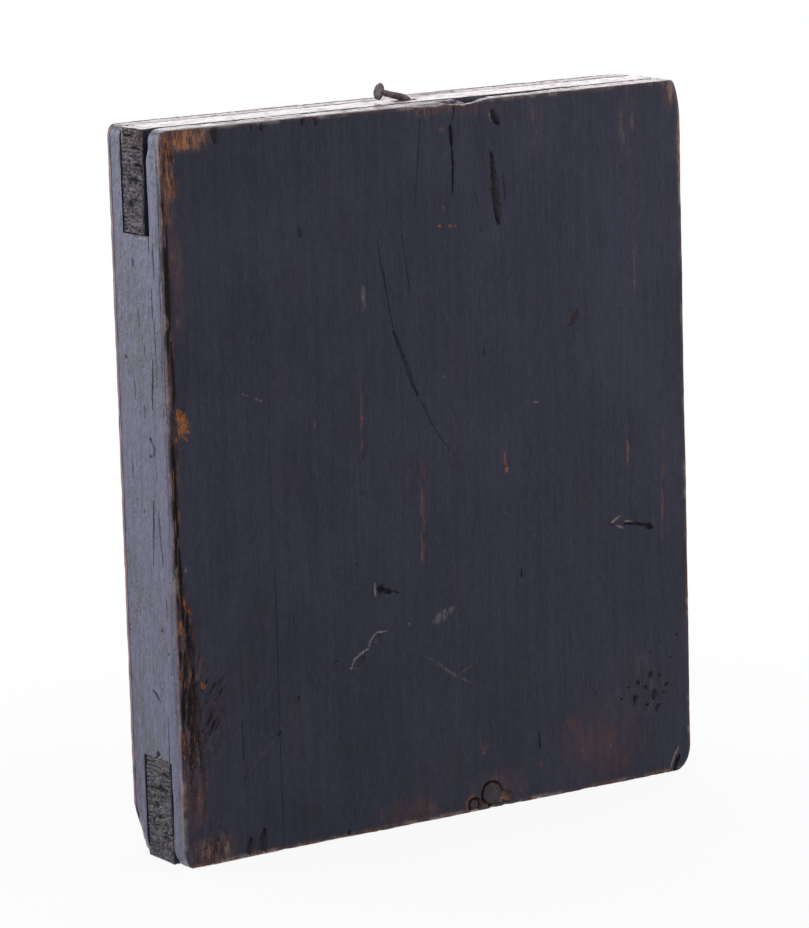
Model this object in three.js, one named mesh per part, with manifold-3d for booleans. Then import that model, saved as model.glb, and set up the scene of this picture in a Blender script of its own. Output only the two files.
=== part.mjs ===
// A painted panel icon: three boards glued edge to edge, a batten let into a groove in the top end
// and another in the bottom end, linen and gesso on the front with a recessed field, thin layers of
// paint, and three forged nails. Millimetres, +Z up. The painted front faces -Y and the plain back
// faces +Y. The origin lies under the middle of the bottom edge, halfway through the thickness.

import * as THREE from "three";
import { mergeVertices } from "three/addons/utils/BufferGeometryUtils.js";
import Module from "manifold-3d";

// Driving dimensions, in millimetres

// The panel over everything: six vershok wide, seven vershok high
const panelWidth = 267;
const panelHeight = 311;
const panelThickness = 41;

// Worn corners of the outline, each a quarter of an ellipse
const topRightCornerWidth = 4;
const topRightCornerHeight = 5;
const topLeftCornerWidth = 5;
const topLeftCornerHeight = 22;
const bottomLeftCornerWidth = 9;
const bottomLeftCornerHeight = 12;
const bottomRightCornerWidth = 5;
const bottomRightCornerHeight = 10;
const wornEdge = 1.6;

// The boards, by the two narrow ones
const rightBoardWidth = 49;
const leftBoardWidth = 31;

// The battens and their grooves: the front cheek is counted from the painted face
const battenDepth = 44.5;
const topFrontCheek = 10;
const topBattenThickness = 17.5;
const topGrooveSlack = 2.3;
const bottomFrontCheek = 10.5;
const bottomBattenThickness = 19.8;
const bottomGrooveSlack = 1.5;

// Pegs inside the glue joints
const pegDiameter = 9;
const pegLength = 40;
const pegHeightShares = [0.34, 0.66];

// Layers on the front
const linenThickness = 0.5;
const gessoThickness = 1.3;
const paintThickness = 0.25;

// The recessed field and its border
const sideBorder = 27;
const topBorder = 33;
const bottomBorder = 33;
const recessDepth = 3;
const slopeWidth = 4;
const edgeLineWidth = 4;
const meadowHeight = 42;

// The painted cross on its hill
const hillWidth = 120;
const hillHeight = 58;
const crossHeadroom = 20.7;
const crossStem = 12;
const crossBar = 10;
const headBarLength = 42;
const armBarLength = 96;
const footBarLength = 58;
const headBarHeightShare = 0.88;
const armBarHeightShare = 0.72;
const footBarHeightShare = 0.26;
const footBarTilt = THREE.MathUtils.degToRad(18);
const hillShoulderShares = { across: 0.55, footAcross: 0.7, footUp: 0.25 };

// The hanging nail in the top edge, driven in upright and bent over sideways. Its setback is counted
// from the front cheek of the groove.
const topNailSetback = 8;
const topNailDiameter = 3.2;
const topNailHeadDiameter = 7.8;
const topNailHeadThickness = 1.3;
const topNailBuried = 34;
const topNailBend = 3.4;
const topNailFree = 12.3;
const topNailLean = THREE.MathUtils.degToRad(15.5);
const topNailOffset = -5.8;

// The two nails in the back, from the middle of the bottom edge
const largeNailHeadDiameter = 10.5;
const largeNailHeadThickness = 1.5;
const largeNailShank = 3.6;
const largeNailLength = 23;
const largeNailOffset = -24.6;
const largeNailHeight = 6.8;
const smallNailHeadDiameter = 4.8;
const smallNailHeadThickness = 1.1;
const smallNailShank = 2;
const smallNailLength = 20;
const smallNailOffset = -14.6;
const smallNailHeight = 3.3;
const nailHeadSunk = 0.5;

// Wear: the crater round the back nails, the split along the top edge and the dents in the back
const craterWidth = 27;
const craterHeight = 17;
const craterDepth = 2.8;
const craterOffset = -26.3;
const splitMiddle = -14;
const splitWidth = 46;
const splitDip = 2.6;
const splitOutlineShares = [[0.55, 0], [0.25, 0.5], [0, 1], [-0.45, 0]];
const splinterWidth = 17;
const splinterDepth = 4.5;
const splinterThickness = 6.5;
const splinterOutlineShares = [[0, 0.5], [-0.2, 1], [-0.7, 1], [-1, 0]];
const gougeWidth = 2.4;
const gougeLength = 30;
const gougeDepth = 2;
const brokenCornerWidth = 7;
const brokenCornerDepth = 11;
const brokenCornerHeight = 22;

// Clearances and modelling aids
const fitClearance = 0.3;
const cutOverrun = 5;
const weldDistance = 0.0001;
const cornerSteps = 5;
const wornEdgeSteps = 2;
const roundSides = 16;
const scoopSides = 10;
const scoopRings = 6;
const nailSides = 8;
const nailPathSteps = 22;
const nailTipShare = 1 / 3;

// Planes and lines that follow from the sizes
const rightSide = panelWidth / 2;
const leftSide = -panelWidth / 2;
const frontPlane = -panelThickness / 2;
const backPlane = panelThickness / 2;
const gessoPlane = frontPlane + paintThickness;
const linenPlane = gessoPlane + gessoThickness;
const woodPlane = linenPlane + linenThickness;
const rightJoint = rightSide - rightBoardWidth;
const leftJoint = leftSide + leftBoardWidth;
const fieldPlane = frontPlane + recessDepth;
const fieldLeft = leftSide + sideBorder + slopeWidth;
const fieldRight = rightSide - sideBorder - slopeWidth;
const fieldBottom = bottomBorder + slopeWidth;
const fieldTop = panelHeight - topBorder - slopeWidth;

const wasm = await Module();
wasm.setup();

// Turning a geometry into a solid that can be joined and cut, and a solid into a named mesh

function solidOf(geometry) {
  const bare = geometry.clone();
  bare.deleteAttribute("normal");
  bare.deleteAttribute("uv");
  const welded = mergeVertices(bare, weldDistance);
  const vertProperties = new Float32Array(welded.attributes.position.array);
  const triVerts = new Uint32Array(welded.index.array);
  return new wasm.Manifold(new wasm.Mesh({ numProp: 3, vertProperties, triVerts }));
}

function meshOf(solid, name, look) {
  const { vertProperties, triVerts } = solid.getMesh();
  const geometry = new THREE.BufferGeometry();
  geometry.setAttribute("position", new THREE.BufferAttribute(vertProperties, 3));
  geometry.setIndex(new THREE.BufferAttribute(triVerts, 1));
  geometry.computeVertexNormals();
  const mesh = new THREE.Mesh(geometry, new THREE.MeshStandardMaterial({ ...look, flatShading: true }));
  mesh.name = name;
  return mesh;
}

// A box between two corners
function boxBetween(x0, x1, y0, y1, z0, z1) {
  const geometry = new THREE.BoxGeometry(x1 - x0, y1 - y0, z1 - z0);
  geometry.translate((x0 + x1) / 2, (y0 + y1) / 2, (z0 + z1) / 2);
  return solidOf(geometry);
}

// An outline drawn in x and z, pulled through the thickness from y0 to y1
function slabOf(outline, y0, y1, options = {}) {
  const geometry = new THREE.ExtrudeGeometry(outline, {
    depth: y1 - y0,
    bevelEnabled: false,
    curveSegments: cornerSteps,
    ...options,
  });
  geometry.rotateX(Math.PI / 2);
  geometry.translate(0, y1, 0);
  return solidOf(geometry);
}

function rectangle(x0, x1, z0, z1) {
  const outline = new THREE.Shape();
  outline.moveTo(x0, z0);
  outline.lineTo(x1, z0);
  outline.lineTo(x1, z1);
  outline.lineTo(x0, z1);
  outline.closePath();
  return outline;
}

// A polygon through points given as pairs of x and z
function polygon(points) {
  return new THREE.Shape(points.map(([x, z]) => new THREE.Vector2(x, z)));
}

// A round lump, used to scoop hollows out of a face that looks along Y
function scoop(x, y, z, width, depth, height, turn = 0) {
  const geometry = new THREE.SphereGeometry(1, scoopSides, scoopRings);
  geometry.scale(width / 2, depth, height / 2);
  geometry.rotateY(turn);
  geometry.translate(x, y, z);
  return solidOf(geometry);
}

// The whole panel as one block: its outline with four worn corners, and worn edges front and back

function panelOutline() {
  const quarter = Math.PI / 2;
  const outline = new THREE.Shape();
  outline.moveTo(leftSide + bottomLeftCornerWidth, 0);
  outline.lineTo(rightSide - bottomRightCornerWidth, 0);
  outline.absellipse(rightSide - bottomRightCornerWidth, bottomRightCornerHeight,
    bottomRightCornerWidth, bottomRightCornerHeight, -quarter, 0);
  outline.lineTo(rightSide, panelHeight - topRightCornerHeight);
  outline.absellipse(rightSide - topRightCornerWidth, panelHeight - topRightCornerHeight,
    topRightCornerWidth, topRightCornerHeight, 0, quarter);
  outline.lineTo(leftSide + topLeftCornerWidth, panelHeight);
  outline.absellipse(leftSide + topLeftCornerWidth, panelHeight - topLeftCornerHeight,
    topLeftCornerWidth, topLeftCornerHeight, quarter, 2 * quarter);
  outline.lineTo(leftSide, bottomLeftCornerHeight);
  outline.absellipse(leftSide + bottomLeftCornerWidth, bottomLeftCornerHeight,
    bottomLeftCornerWidth, bottomLeftCornerHeight, 2 * quarter, 3 * quarter);
  return outline;
}

// The front corner under the right hand has broken away: a slanting cut through three points
function brokenCorner() {
  const geometry = new THREE.BoxGeometry(1, 1, 1);
  geometry.translate(0, 0, 0.5);
  geometry.scale(panelThickness, panelThickness, panelThickness);
  const outward = new THREE.Vector3(1 / brokenCornerWidth, -1 / brokenCornerDepth, -1 / brokenCornerHeight);
  const reach = 1 / outward.length();
  outward.normalize();
  geometry.applyQuaternion(new THREE.Quaternion().setFromUnitVectors(new THREE.Vector3(0, 0, 1), outward));
  const corner = new THREE.Vector3(rightSide, frontPlane, 0);
  const middle = corner.clone().addScaledVector(outward, -reach);
  geometry.translate(middle.x, middle.y, middle.z);
  return solidOf(geometry);
}

function panelBlock() {
  const block = slabOf(panelOutline(), frontPlane + wornEdge, backPlane - wornEdge, {
    bevelEnabled: true,
    bevelThickness: wornEdge,
    bevelSize: wornEdge,
    bevelOffset: -wornEdge,
    bevelSegments: wornEdgeSteps,
  });
  return block.subtract(brokenCorner());
}

// The recess for the field, as deep as the layer that lies behind the given front plane
function recess(front) {
  const opening = rectangle(fieldLeft - slopeWidth, fieldRight + slopeWidth,
    fieldBottom - slopeWidth, fieldTop + slopeWidth);
  return slabOf(opening, front - cutOverrun, front, {
    bevelEnabled: true,
    bevelThickness: recessDepth,
    bevelSize: slopeWidth,
    bevelOffset: -slopeWidth,
    bevelSegments: 1,
  });
}

// One layer of the panel: what lies between two front planes, each with its own recess
function layer(block, front, back) {
  const behindFront = boxBetween(leftSide - cutOverrun, rightSide + cutOverrun,
    front, backPlane + cutOverrun, -cutOverrun, panelHeight + cutOverrun).subtract(recess(front));
  if (back === undefined) return block.intersect(behindFront);
  const behindBack = boxBetween(leftSide - cutOverrun, rightSide + cutOverrun,
    back, backPlane + cutOverrun, -cutOverrun, panelHeight + cutOverrun).subtract(recess(back));
  return block.intersect(behindFront).subtract(behindBack);
}

// Grooves and battens. Each batten lies against the front cheek and the floor of its groove, and the
// slack shows as a dark gap along the back cheek.

const topGrooveFloor = panelHeight - battenDepth;
const topGrooveFront = frontPlane + topFrontCheek;
const bottomGrooveFront = frontPlane + bottomFrontCheek;

function acrossPanel(y0, thickness, z0, z1) {
  return boxBetween(leftSide - cutOverrun, rightSide + cutOverrun, y0, y0 + thickness, z0, z1);
}

const topGroove = acrossPanel(topGrooveFront, topBattenThickness + topGrooveSlack,
  topGrooveFloor, panelHeight + cutOverrun);
const bottomGroove = acrossPanel(bottomGrooveFront, bottomBattenThickness + bottomGrooveSlack,
  -cutOverrun, battenDepth);
const topBattenBar = acrossPanel(topGrooveFront, topBattenThickness,
  topGrooveFloor, panelHeight + cutOverrun);
const bottomBattenBar = acrossPanel(bottomGrooveFront, bottomBattenThickness,
  -cutOverrun, battenDepth);

// The hanging nail: buried upright in the top batten, then bent over towards +X. Its path is also
// swept a little wider to make its hole.

const topNailY = topGrooveFront + topNailSetback;

function topNailPath(overrun) {
  const lean = new THREE.Vector3(Math.cos(topNailLean), 0, Math.sin(topNailLean));
  const elbow = new THREE.Vector3(topNailOffset, topNailY, panelHeight);
  const below = elbow.clone();
  below.z -= topNailBend;
  const after = elbow.clone().addScaledVector(lean, topNailBend);
  const tip = elbow.clone();
  tip.z -= topNailBuried + overrun;
  const end = after.clone().addScaledVector(lean, topNailFree + overrun);
  const path = new THREE.CurvePath();
  path.add(new THREE.LineCurve3(tip, below));
  path.add(new THREE.QuadraticBezierCurve3(below, elbow, after));
  path.add(new THREE.LineCurve3(after, end));
  return { path, end, lean };
}

function sweptRound(path, diameter) {
  const section = new THREE.Shape();
  section.absarc(0, 0, diameter / 2, 0, 2 * Math.PI);
  return solidOf(new THREE.ExtrudeGeometry(section, {
    steps: nailPathSteps,
    curveSegments: nailSides / 2,
    extrudePath: path,
  }));
}

// A hammered nail head: a flat underside at zero and a low crown, turned about Y
function headProfile(diameter, thickness) {
  const radius = diameter / 2;
  const rim = thickness / 2;
  return new THREE.LatheGeometry([
    new THREE.Vector2(0, 0),
    new THREE.Vector2(radius, 0),
    new THREE.Vector2(radius, rim),
    new THREE.Vector2(radius - rim, thickness),
    new THREE.Vector2(0, thickness),
  ], roundSides);
}

function topNail() {
  const { path, end, lean } = topNailPath(0);
  const head = headProfile(topNailHeadDiameter, topNailHeadThickness);
  head.translate(0, -topNailHeadThickness / 2, 0);
  head.applyQuaternion(new THREE.Quaternion().setFromUnitVectors(new THREE.Vector3(0, 1, 0), lean));
  head.translate(end.x, end.y, end.z);
  return sweptRound(path, topNailDiameter).add(solidOf(head));
}

function topNailHole() {
  return sweptRound(topNailPath(fitClearance).path, topNailDiameter + 2 * fitClearance);
}

// A nail driven into the back: a square tapering shank along -Y under a round head
function backNail(x, z, headDiameter, headThickness, shank, length) {
  const headTop = backPlane - nailHeadSunk;
  const underHead = headTop - headThickness;
  const head = headProfile(headDiameter, headThickness);
  head.translate(x, underHead, z);
  const stem = squareTaper(x, z, shank, underHead + headThickness / 2, headTop - length);
  return solidOf(head).add(stem);
}

// A square tapering to a third, from y at its thick end to y at its tip
function squareTaper(x, z, side, thickEnd, tip) {
  const halfDiagonal = side * Math.SQRT1_2;
  const geometry = new THREE.CylinderGeometry(halfDiagonal, halfDiagonal * nailTipShare, thickEnd - tip, 4);
  geometry.rotateY(Math.PI / 4);
  geometry.translate(x, (thickEnd + tip) / 2, z);
  return solidOf(geometry);
}

// The room a back nail takes: a round seat for its head and a square hole for its shank
function backNailRoom(x, z, headDiameter, headThickness, shank, length) {
  const headTop = backPlane - nailHeadSunk;
  const underHead = headTop - headThickness;
  const seatDepth = headThickness + nailHeadSunk + cutOverrun;
  const seatRadius = headDiameter / 2 + fitClearance;
  const seat = new THREE.CylinderGeometry(seatRadius, seatRadius, seatDepth, roundSides);
  seat.translate(x, underHead - fitClearance + seatDepth / 2, z);
  const hole = squareTaper(x, z, shank + 2 * fitClearance, underHead, headTop - length - fitClearance);
  return solidOf(seat).add(hole);
}

const largeNailSizes = [largeNailOffset, largeNailHeight, largeNailHeadDiameter,
  largeNailHeadThickness, largeNailShank, largeNailLength];
const smallNailSizes = [smallNailOffset, smallNailHeight, smallNailHeadDiameter,
  smallNailHeadThickness, smallNailShank, smallNailLength];
const backNailRooms = backNailRoom(...largeNailSizes).add(backNailRoom(...smallNailSizes));

// Pegs across the glue joints

const pegPlaces = [rightJoint, leftJoint].flatMap((x) =>
  pegHeightShares.map((share) => [x, share * panelHeight]));

function pegAt(x, z, diameter, length) {
  const geometry = new THREE.CylinderGeometry(diameter / 2, diameter / 2, length, roundSides);
  geometry.rotateZ(Math.PI / 2);
  geometry.translate(x, 0, z);
  return solidOf(geometry);
}

// Wear in the back. Each dent is given by shares: its place across and up the panel, its width,
// length and depth as shares of the gouge sizes, and its turn in degrees.
const dentShares = [
  { across: 0.54, up: 0.92, width: 0.5, length: 0.95, depth: 1, turn: 0 },
  { across: 0.617, up: 0.878, width: 1, length: 1.05, depth: 1, turn: 5 },
  { across: 0.617, up: 0.969, width: 1, length: 0.16, depth: 0.9, turn: 0 },
  { across: 0.388, up: 0.34, width: 3.6, length: 0.17, depth: 0.9, turn: 8 },
  { across: 0.365, up: 0.272, width: 1.1, length: 0.3, depth: 0.4, turn: 40 },
  { across: 0.17, up: 0.163, width: 0.9, length: 1.35, depth: 0.35, turn: 44 },
  { across: 0.9, up: 0.366, width: 3.6, length: 0.1, depth: 0.5, turn: 5 },
  { across: 0.9, up: 0.152, width: 1.6, length: 0.22, depth: 0.45, turn: 30 },
  { across: 0.92, up: 0.127, width: 1.8, length: 0.2, depth: 0.45, turn: -20 },
  { across: 0.885, up: 0.117, width: 1.4, length: 0.2, depth: 0.4, turn: 10 },
  { across: 0.21, up: 0.845, width: 1.3, length: 0.2, depth: 0.3, turn: 0 },
  { across: 0.78, up: 0.68, width: 1.6, length: 0.3, depth: 0.3, turn: 25 },
];

function dents() {
  return dentShares.map((dent) => scoop(
    rightSide - dent.across * panelWidth,
    backPlane,
    dent.up * panelHeight,
    dent.width * gougeWidth,
    dent.depth * gougeDepth,
    dent.length * gougeLength,
    -THREE.MathUtils.degToRad(dent.turn),
  ));
}

// The crater round the back nails, and the shallow split along the top of the back cheek with the
// hole where a splinter has gone

function notchInTop(middle, width, depth, shares, y0, y1) {
  const dips = shares.map(([across, down]) => [middle + across * width, panelHeight - down * depth]);
  const [first, last] = [dips[0], dips[dips.length - 1]];
  const outline = [...dips, [last[0], panelHeight + cutOverrun], [first[0], panelHeight + cutOverrun]];
  return slabOf(polygon(outline), y0, y1);
}

function breakages() {
  const cheekStart = topGrooveFront + topBattenThickness;
  const splinterEnd = cheekStart + topGrooveSlack + splinterThickness;
  return [
    scoop(craterOffset, backPlane, largeNailHeight, craterWidth, craterDepth, craterHeight),
    notchInTop(splitMiddle, splitWidth, splitDip, splitOutlineShares, cheekStart, backPlane + cutOverrun),
    notchInTop(splitMiddle, splinterWidth, splinterDepth, splinterOutlineShares, cheekStart, splinterEnd),
  ];
}

// The boards: the block behind the linen, less grooves, pegs, nail holes and wear, cut at the joints

const woodOutlineBlock = panelBlock();

function boards() {
  let wood = layer(woodOutlineBlock, woodPlane);
  const cutters = [topGroove, bottomGroove, backNailRooms, ...dents(), ...breakages()];
  for (const [x, z] of pegPlaces) {
    cutters.push(pegAt(x, z, pegDiameter + 2 * fitClearance, pegLength + 2 * fitClearance));
  }
  for (const cutter of cutters) {
    wood = wood.subtract(cutter);
  }
  const across = [leftSide - cutOverrun, leftJoint, rightJoint, rightSide + cutOverrun];
  return [0, 1, 2].map((i) => wood.intersect(boxBetween(across[i], across[i + 1],
    frontPlane - cutOverrun, backPlane + cutOverrun, -cutOverrun, panelHeight + cutOverrun)));
}

function topBatten() {
  return woodOutlineBlock.intersect(topBattenBar).subtract(topNailHole());
}

function bottomBatten() {
  return woodOutlineBlock.intersect(bottomBattenBar).subtract(backNailRooms);
}

// The paint: one thin layer cut into its colours. The colours of the slope run on to the flats
// beside it by the thickness of the paint.

function paintLayers() {
  const paint = layer(woodOutlineBlock, frontPlane, gessoPlane);
  const y0 = frontPlane - cutOverrun;
  const y1 = fieldPlane + cutOverrun;
  const insideEdgeLine = boxBetween(leftSide + edgeLineWidth, rightSide - edgeLineWidth,
    y0, y1, edgeLineWidth, panelHeight - edgeLineWidth);
  const slopeTop = slopeWidth + paintThickness;
  const insideBorder = boxBetween(fieldLeft - slopeTop, fieldRight + slopeTop,
    y0, y1, fieldBottom - slopeTop, fieldTop + slopeTop);
  const insideSlope = boxBetween(fieldLeft + paintThickness, fieldRight - paintThickness,
    y0, y1, fieldBottom + paintThickness, fieldTop - paintThickness);
  const belowMeadowTop = boxBetween(leftSide, rightSide, y0, y1, 0, fieldBottom + meadowHeight);
  const meadow = insideSlope.intersect(belowMeadowTop);
  return {
    edgeLine: paint.subtract(insideEdgeLine),
    border: paint.intersect(insideEdgeLine).subtract(insideBorder),
    slope: paint.intersect(insideBorder).subtract(insideSlope),
    field: paint.intersect(insideSlope).subtract(meadow),
    meadow: paint.intersect(meadow),
  };
}

const hillTop = fieldBottom + hillHeight;
const crossFoot = hillTop + fitClearance;
const crossHeight = fieldTop - crossHeadroom - crossFoot;

function hillPaint() {
  const half = hillWidth / 2;
  const shoulder = half * hillShoulderShares.across;
  const foot = half * hillShoulderShares.footAcross;
  const footTop = fieldBottom + hillHeight * hillShoulderShares.footUp;
  const outline = new THREE.Shape();
  outline.moveTo(-half, fieldBottom);
  outline.lineTo(half, fieldBottom);
  outline.bezierCurveTo(foot, footTop, shoulder, hillTop, 0, hillTop);
  outline.bezierCurveTo(-shoulder, hillTop, -foot, footTop, -half, fieldBottom);
  return slabOf(outline, fieldPlane - paintThickness, fieldPlane);
}

function crossPaint() {
  const y0 = fieldPlane - paintThickness;
  const stem = boxBetween(-crossStem / 2, crossStem / 2, y0, fieldPlane, crossFoot, crossFoot + crossHeight);
  const bar = (length, share) => {
    const z = crossFoot + crossHeight * share;
    return boxBetween(-length / 2, length / 2, y0, fieldPlane, z - crossBar / 2, z + crossBar / 2);
  };
  const foot = new THREE.BoxGeometry(footBarLength, paintThickness, crossBar);
  foot.rotateY(footBarTilt);
  foot.translate(0, (y0 + fieldPlane) / 2, crossFoot + crossHeight * footBarHeightShare);
  return stem
    .add(bar(headBarLength, headBarHeightShare))
    .add(bar(armBarLength, armBarHeightShare))
    .add(solidOf(foot));
}

// Finishes

const darkVarnish = { color: 0x15161c, roughness: 0.38, metalness: 0 };
const endGrain = { color: 0x2b2a30, roughness: 0.85, metalness: 0 };
const bareWood = { color: 0x8a6238, roughness: 0.7, metalness: 0 };
const iron = { color: 0x3a3234, roughness: 0.55, metalness: 0.8 };
const linen = { color: 0xb9a883, roughness: 0.95, metalness: 0 };
const gesso = { color: 0xe4dcc8, roughness: 0.85, metalness: 0 };
const redPaint = { color: 0x5c1f17, roughness: 0.5, metalness: 0 };
const ochrePaint = { color: 0xa8763a, roughness: 0.5, metalness: 0 };
const gilding = { color: 0xb08a3e, roughness: 0.35, metalness: 0.6 };
const greenPaint = { color: 0x3d4026, roughness: 0.55, metalness: 0 };
const brownPaint = { color: 0x3a2216, roughness: 0.5, metalness: 0 };

// The icon

const icon = new THREE.Group();

const [leftBoard, middleBoard, rightBoard] = boards();
icon.add(meshOf(leftBoard, "left_board", darkVarnish));
icon.add(meshOf(middleBoard, "middle_board", darkVarnish));
icon.add(meshOf(rightBoard, "right_board", darkVarnish));
icon.add(meshOf(topBatten(), "top_batten", endGrain));
icon.add(meshOf(bottomBatten(), "bottom_batten", endGrain));

pegPlaces.forEach(([x, z], i) => {
  icon.add(meshOf(pegAt(x, z, pegDiameter, pegLength), `joint_dowel_${i + 1}`, bareWood));
});

icon.add(meshOf(layer(woodOutlineBlock, linenPlane, woodPlane), "linen_ground", linen));
icon.add(meshOf(layer(woodOutlineBlock, gessoPlane, linenPlane), "gesso_ground", gesso));

const paint = paintLayers();
icon.add(meshOf(paint.edgeLine, "edge_line_paint", redPaint));
icon.add(meshOf(paint.border, "border_paint", ochrePaint));
icon.add(meshOf(paint.slope, "slope_paint", redPaint));
icon.add(meshOf(paint.field, "field_paint", gilding));
icon.add(meshOf(paint.meadow, "meadow_paint", greenPaint));
icon.add(meshOf(hillPaint(), "hill_paint", brownPaint));
icon.add(meshOf(crossPaint(), "cross_paint", brownPaint));

icon.add(meshOf(topNail(), "top_nail", iron));
icon.add(meshOf(backNail(...largeNailSizes), "large_back_nail", iron));
icon.add(meshOf(backNail(...smallNailSizes), "small_back_nail", iron));

export default icon;
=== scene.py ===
"""An old panel icon that stands with its back to the camera: three varnished boards, a batten let into
each end, forged nails, and on the front linen, gesso and worn paint. Shapes are worked out in
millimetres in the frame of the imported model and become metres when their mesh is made."""

import itertools
import math

import bpy
import numpy as np
from bpy.props import FloatProperty, FloatVectorProperty, PointerProperty
from mathutils import Matrix, Vector


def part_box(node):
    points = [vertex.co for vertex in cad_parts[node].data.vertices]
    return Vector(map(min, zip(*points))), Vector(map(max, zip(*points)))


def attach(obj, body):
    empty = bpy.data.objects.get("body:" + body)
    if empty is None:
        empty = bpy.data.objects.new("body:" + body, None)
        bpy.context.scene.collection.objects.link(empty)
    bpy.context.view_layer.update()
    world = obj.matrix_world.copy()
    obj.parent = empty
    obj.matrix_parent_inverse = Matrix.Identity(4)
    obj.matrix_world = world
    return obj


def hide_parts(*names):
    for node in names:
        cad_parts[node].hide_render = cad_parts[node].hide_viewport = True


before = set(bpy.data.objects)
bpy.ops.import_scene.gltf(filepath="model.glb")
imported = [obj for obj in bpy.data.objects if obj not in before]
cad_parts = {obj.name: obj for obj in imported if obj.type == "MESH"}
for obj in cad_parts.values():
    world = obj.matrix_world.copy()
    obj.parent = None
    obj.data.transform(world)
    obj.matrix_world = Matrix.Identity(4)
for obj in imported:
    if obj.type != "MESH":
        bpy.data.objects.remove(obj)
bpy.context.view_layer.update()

bl_info = {
    "name": "Worn panel icon",
    "version": (1, 0, 0),
    "blender": (4, 5, 0),
    "location": "View3D > Sidebar > Icon",
    "description": "Makes the boards, battens, nails and painted front of an old panel icon",
    "category": "Object",
}

MM = 0.001
BODY = "root"


def node_box(name):
    """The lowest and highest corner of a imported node, in millimetres."""
    low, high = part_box(name)
    return np.array(low) / MM, np.array(high) / MM


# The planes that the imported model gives, in millimetres
LEFT = node_box("left_board")[0][0]
RIGHT = node_box("right_board")[1][0]
LEFT_JOINT, WOOD_FRONT, BOTTOM = node_box("middle_board")[0]
RIGHT_JOINT, BACK = node_box("middle_board")[1][:2]
TOP = node_box("left_board")[1][2]
HALF_WAY_UP = TOP / 2
FRONT = node_box("border_paint")[0][1]
SLOPE_LOW, SLOPE_HIGH = node_box("slope_paint")
MEADOW_LOW, MEADOW_HIGH = node_box("meadow_paint")
FIELD_LOW, FIELD_HIGH = node_box("field_paint")
FIELD_LOW[2] = MEADOW_LOW[2]  # the gilded ground with the meadow under it
EDGE_LINE = node_box("border_paint")[0][0] - LEFT
TOP_BATTEN = node_box("top_batten")
BOTTOM_BATTEN = node_box("bottom_batten")
TOP_NAIL = node_box("top_nail")
LARGE_NAIL = node_box("large_back_nail")
SMALL_NAIL = node_box("small_back_nail")
TOP_NAIL_Y = (TOP_NAIL[0][1] + TOP_NAIL[1][1]) / 2

# Wood this near a face counts as that face where the wear is worked out: the back, then the others
BACK_SKIN, SIDE_SKIN = 4, 6

# How deep each layer of the front starts and ends behind the painted face
PAINT = (0.0, 0.25)
LAYER_DEPTHS = {"gesso_ground": (0.25, 1.55), "linen_ground": (1.55, 2.05)}

# Width and height of each worn corner of the outline, by the side and the end that it is on
CORNERS = {(1, 1): (4, 5), (-1, 1): (5, 22), (-1, -1): (9, 12), (1, -1): (5, 10)}

# The front corner that has broken away: how far along x, y and z the cut reaches
BROKEN_CORNER = (7, 11, 22)

# The split along the top of the back cheek: places along x and how far it dips there, for the part that
# has broken off, the bevel beside it, the slit along the groove and the hole of a lost splinter
SPLIT = ((-33.0, -29.0, -24.0, -18.0, -11.0, -7.0), (0.0, 0.3, 1.0, 2.1, 1.1, 0.0))
BEVEL = ((-11.0, -5.0, 3.0, 10.0), (0.0, 1.1, 0.9, 0.0))
SLIT = ((-75.0, -58.0, -34.0, -31.0), (0.0, 0.7, 0.9, 0.0))
SPLINTER_HOLE = ((-33.5, -31.5, -25.0, -18.0), (0.0, 3.4, 2.6, 0.0))


# Sizes and colours that a user may change


def length(name, description, default):
    return FloatProperty(
        name=name, description=description, default=default, min=0, precision=5,
        subtype="DISTANCE", unit="LENGTH",
    )


def glow(name, description, default):
    return FloatProperty(name=name, description=description, default=default, min=0)


def colour(name, description, default):
    return FloatVectorProperty(
        name=name, description=description, default=default, min=0, max=1, size=3, subtype="COLOR",
    )


class IconSizes(bpy.types.PropertyGroup):
    """Sizes of the wear and of the mesh."""

    worn_edge: length("Worn edge", "Radius that handling has given the long edges", 0.0015)
    groove_lip: length("Groove lip", "Radius at the mouth of the batten grooves", 0.0013)
    joint_crease: length("Joint crease", "Radius of the boards' edges along the glue joints", 0.0004)
    top_slack: length("Top slack", "Gap behind the top batten in its groove", 0.0023)
    bottom_slack: length("Bottom slack", "Gap behind the bottom batten in its groove", 0.0015)
    swell: length("Swell", "How far the top batten has swelled back at its mouth", 0.0002)
    sway: length("Sway", "How far the faces dip between their high places", 0.0003)
    grain_relief: length("Grain relief", "Depth of the furrows that the grain leaves", 0.00009)
    face_step: length("Face step", "Longest edge in the mesh of a shown face", 0.0030)
    edge_step: length("Edge step", "Longest edge in the mesh along the panel's edges", 0.0009)
    mark_step: length("Mark step", "Shortest step in the mesh at cracks and dents", 0.00045)
    hidden_step: length("Hidden step", "Longest edge in the mesh of a hidden face", 0.014)
    bead: length("Bead", "Width of the punched dots round the field", 0.0016)
    bead_spacing: length("Bead spacing", "Distance between the punched dots", 0.0034)
    splinter: length("Splinter", "Length of the fibres that stand in the rough places", 0.0080)
    splinter_width: length("Splinter width", "Thickness of those fibres", 0.00050)


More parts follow.
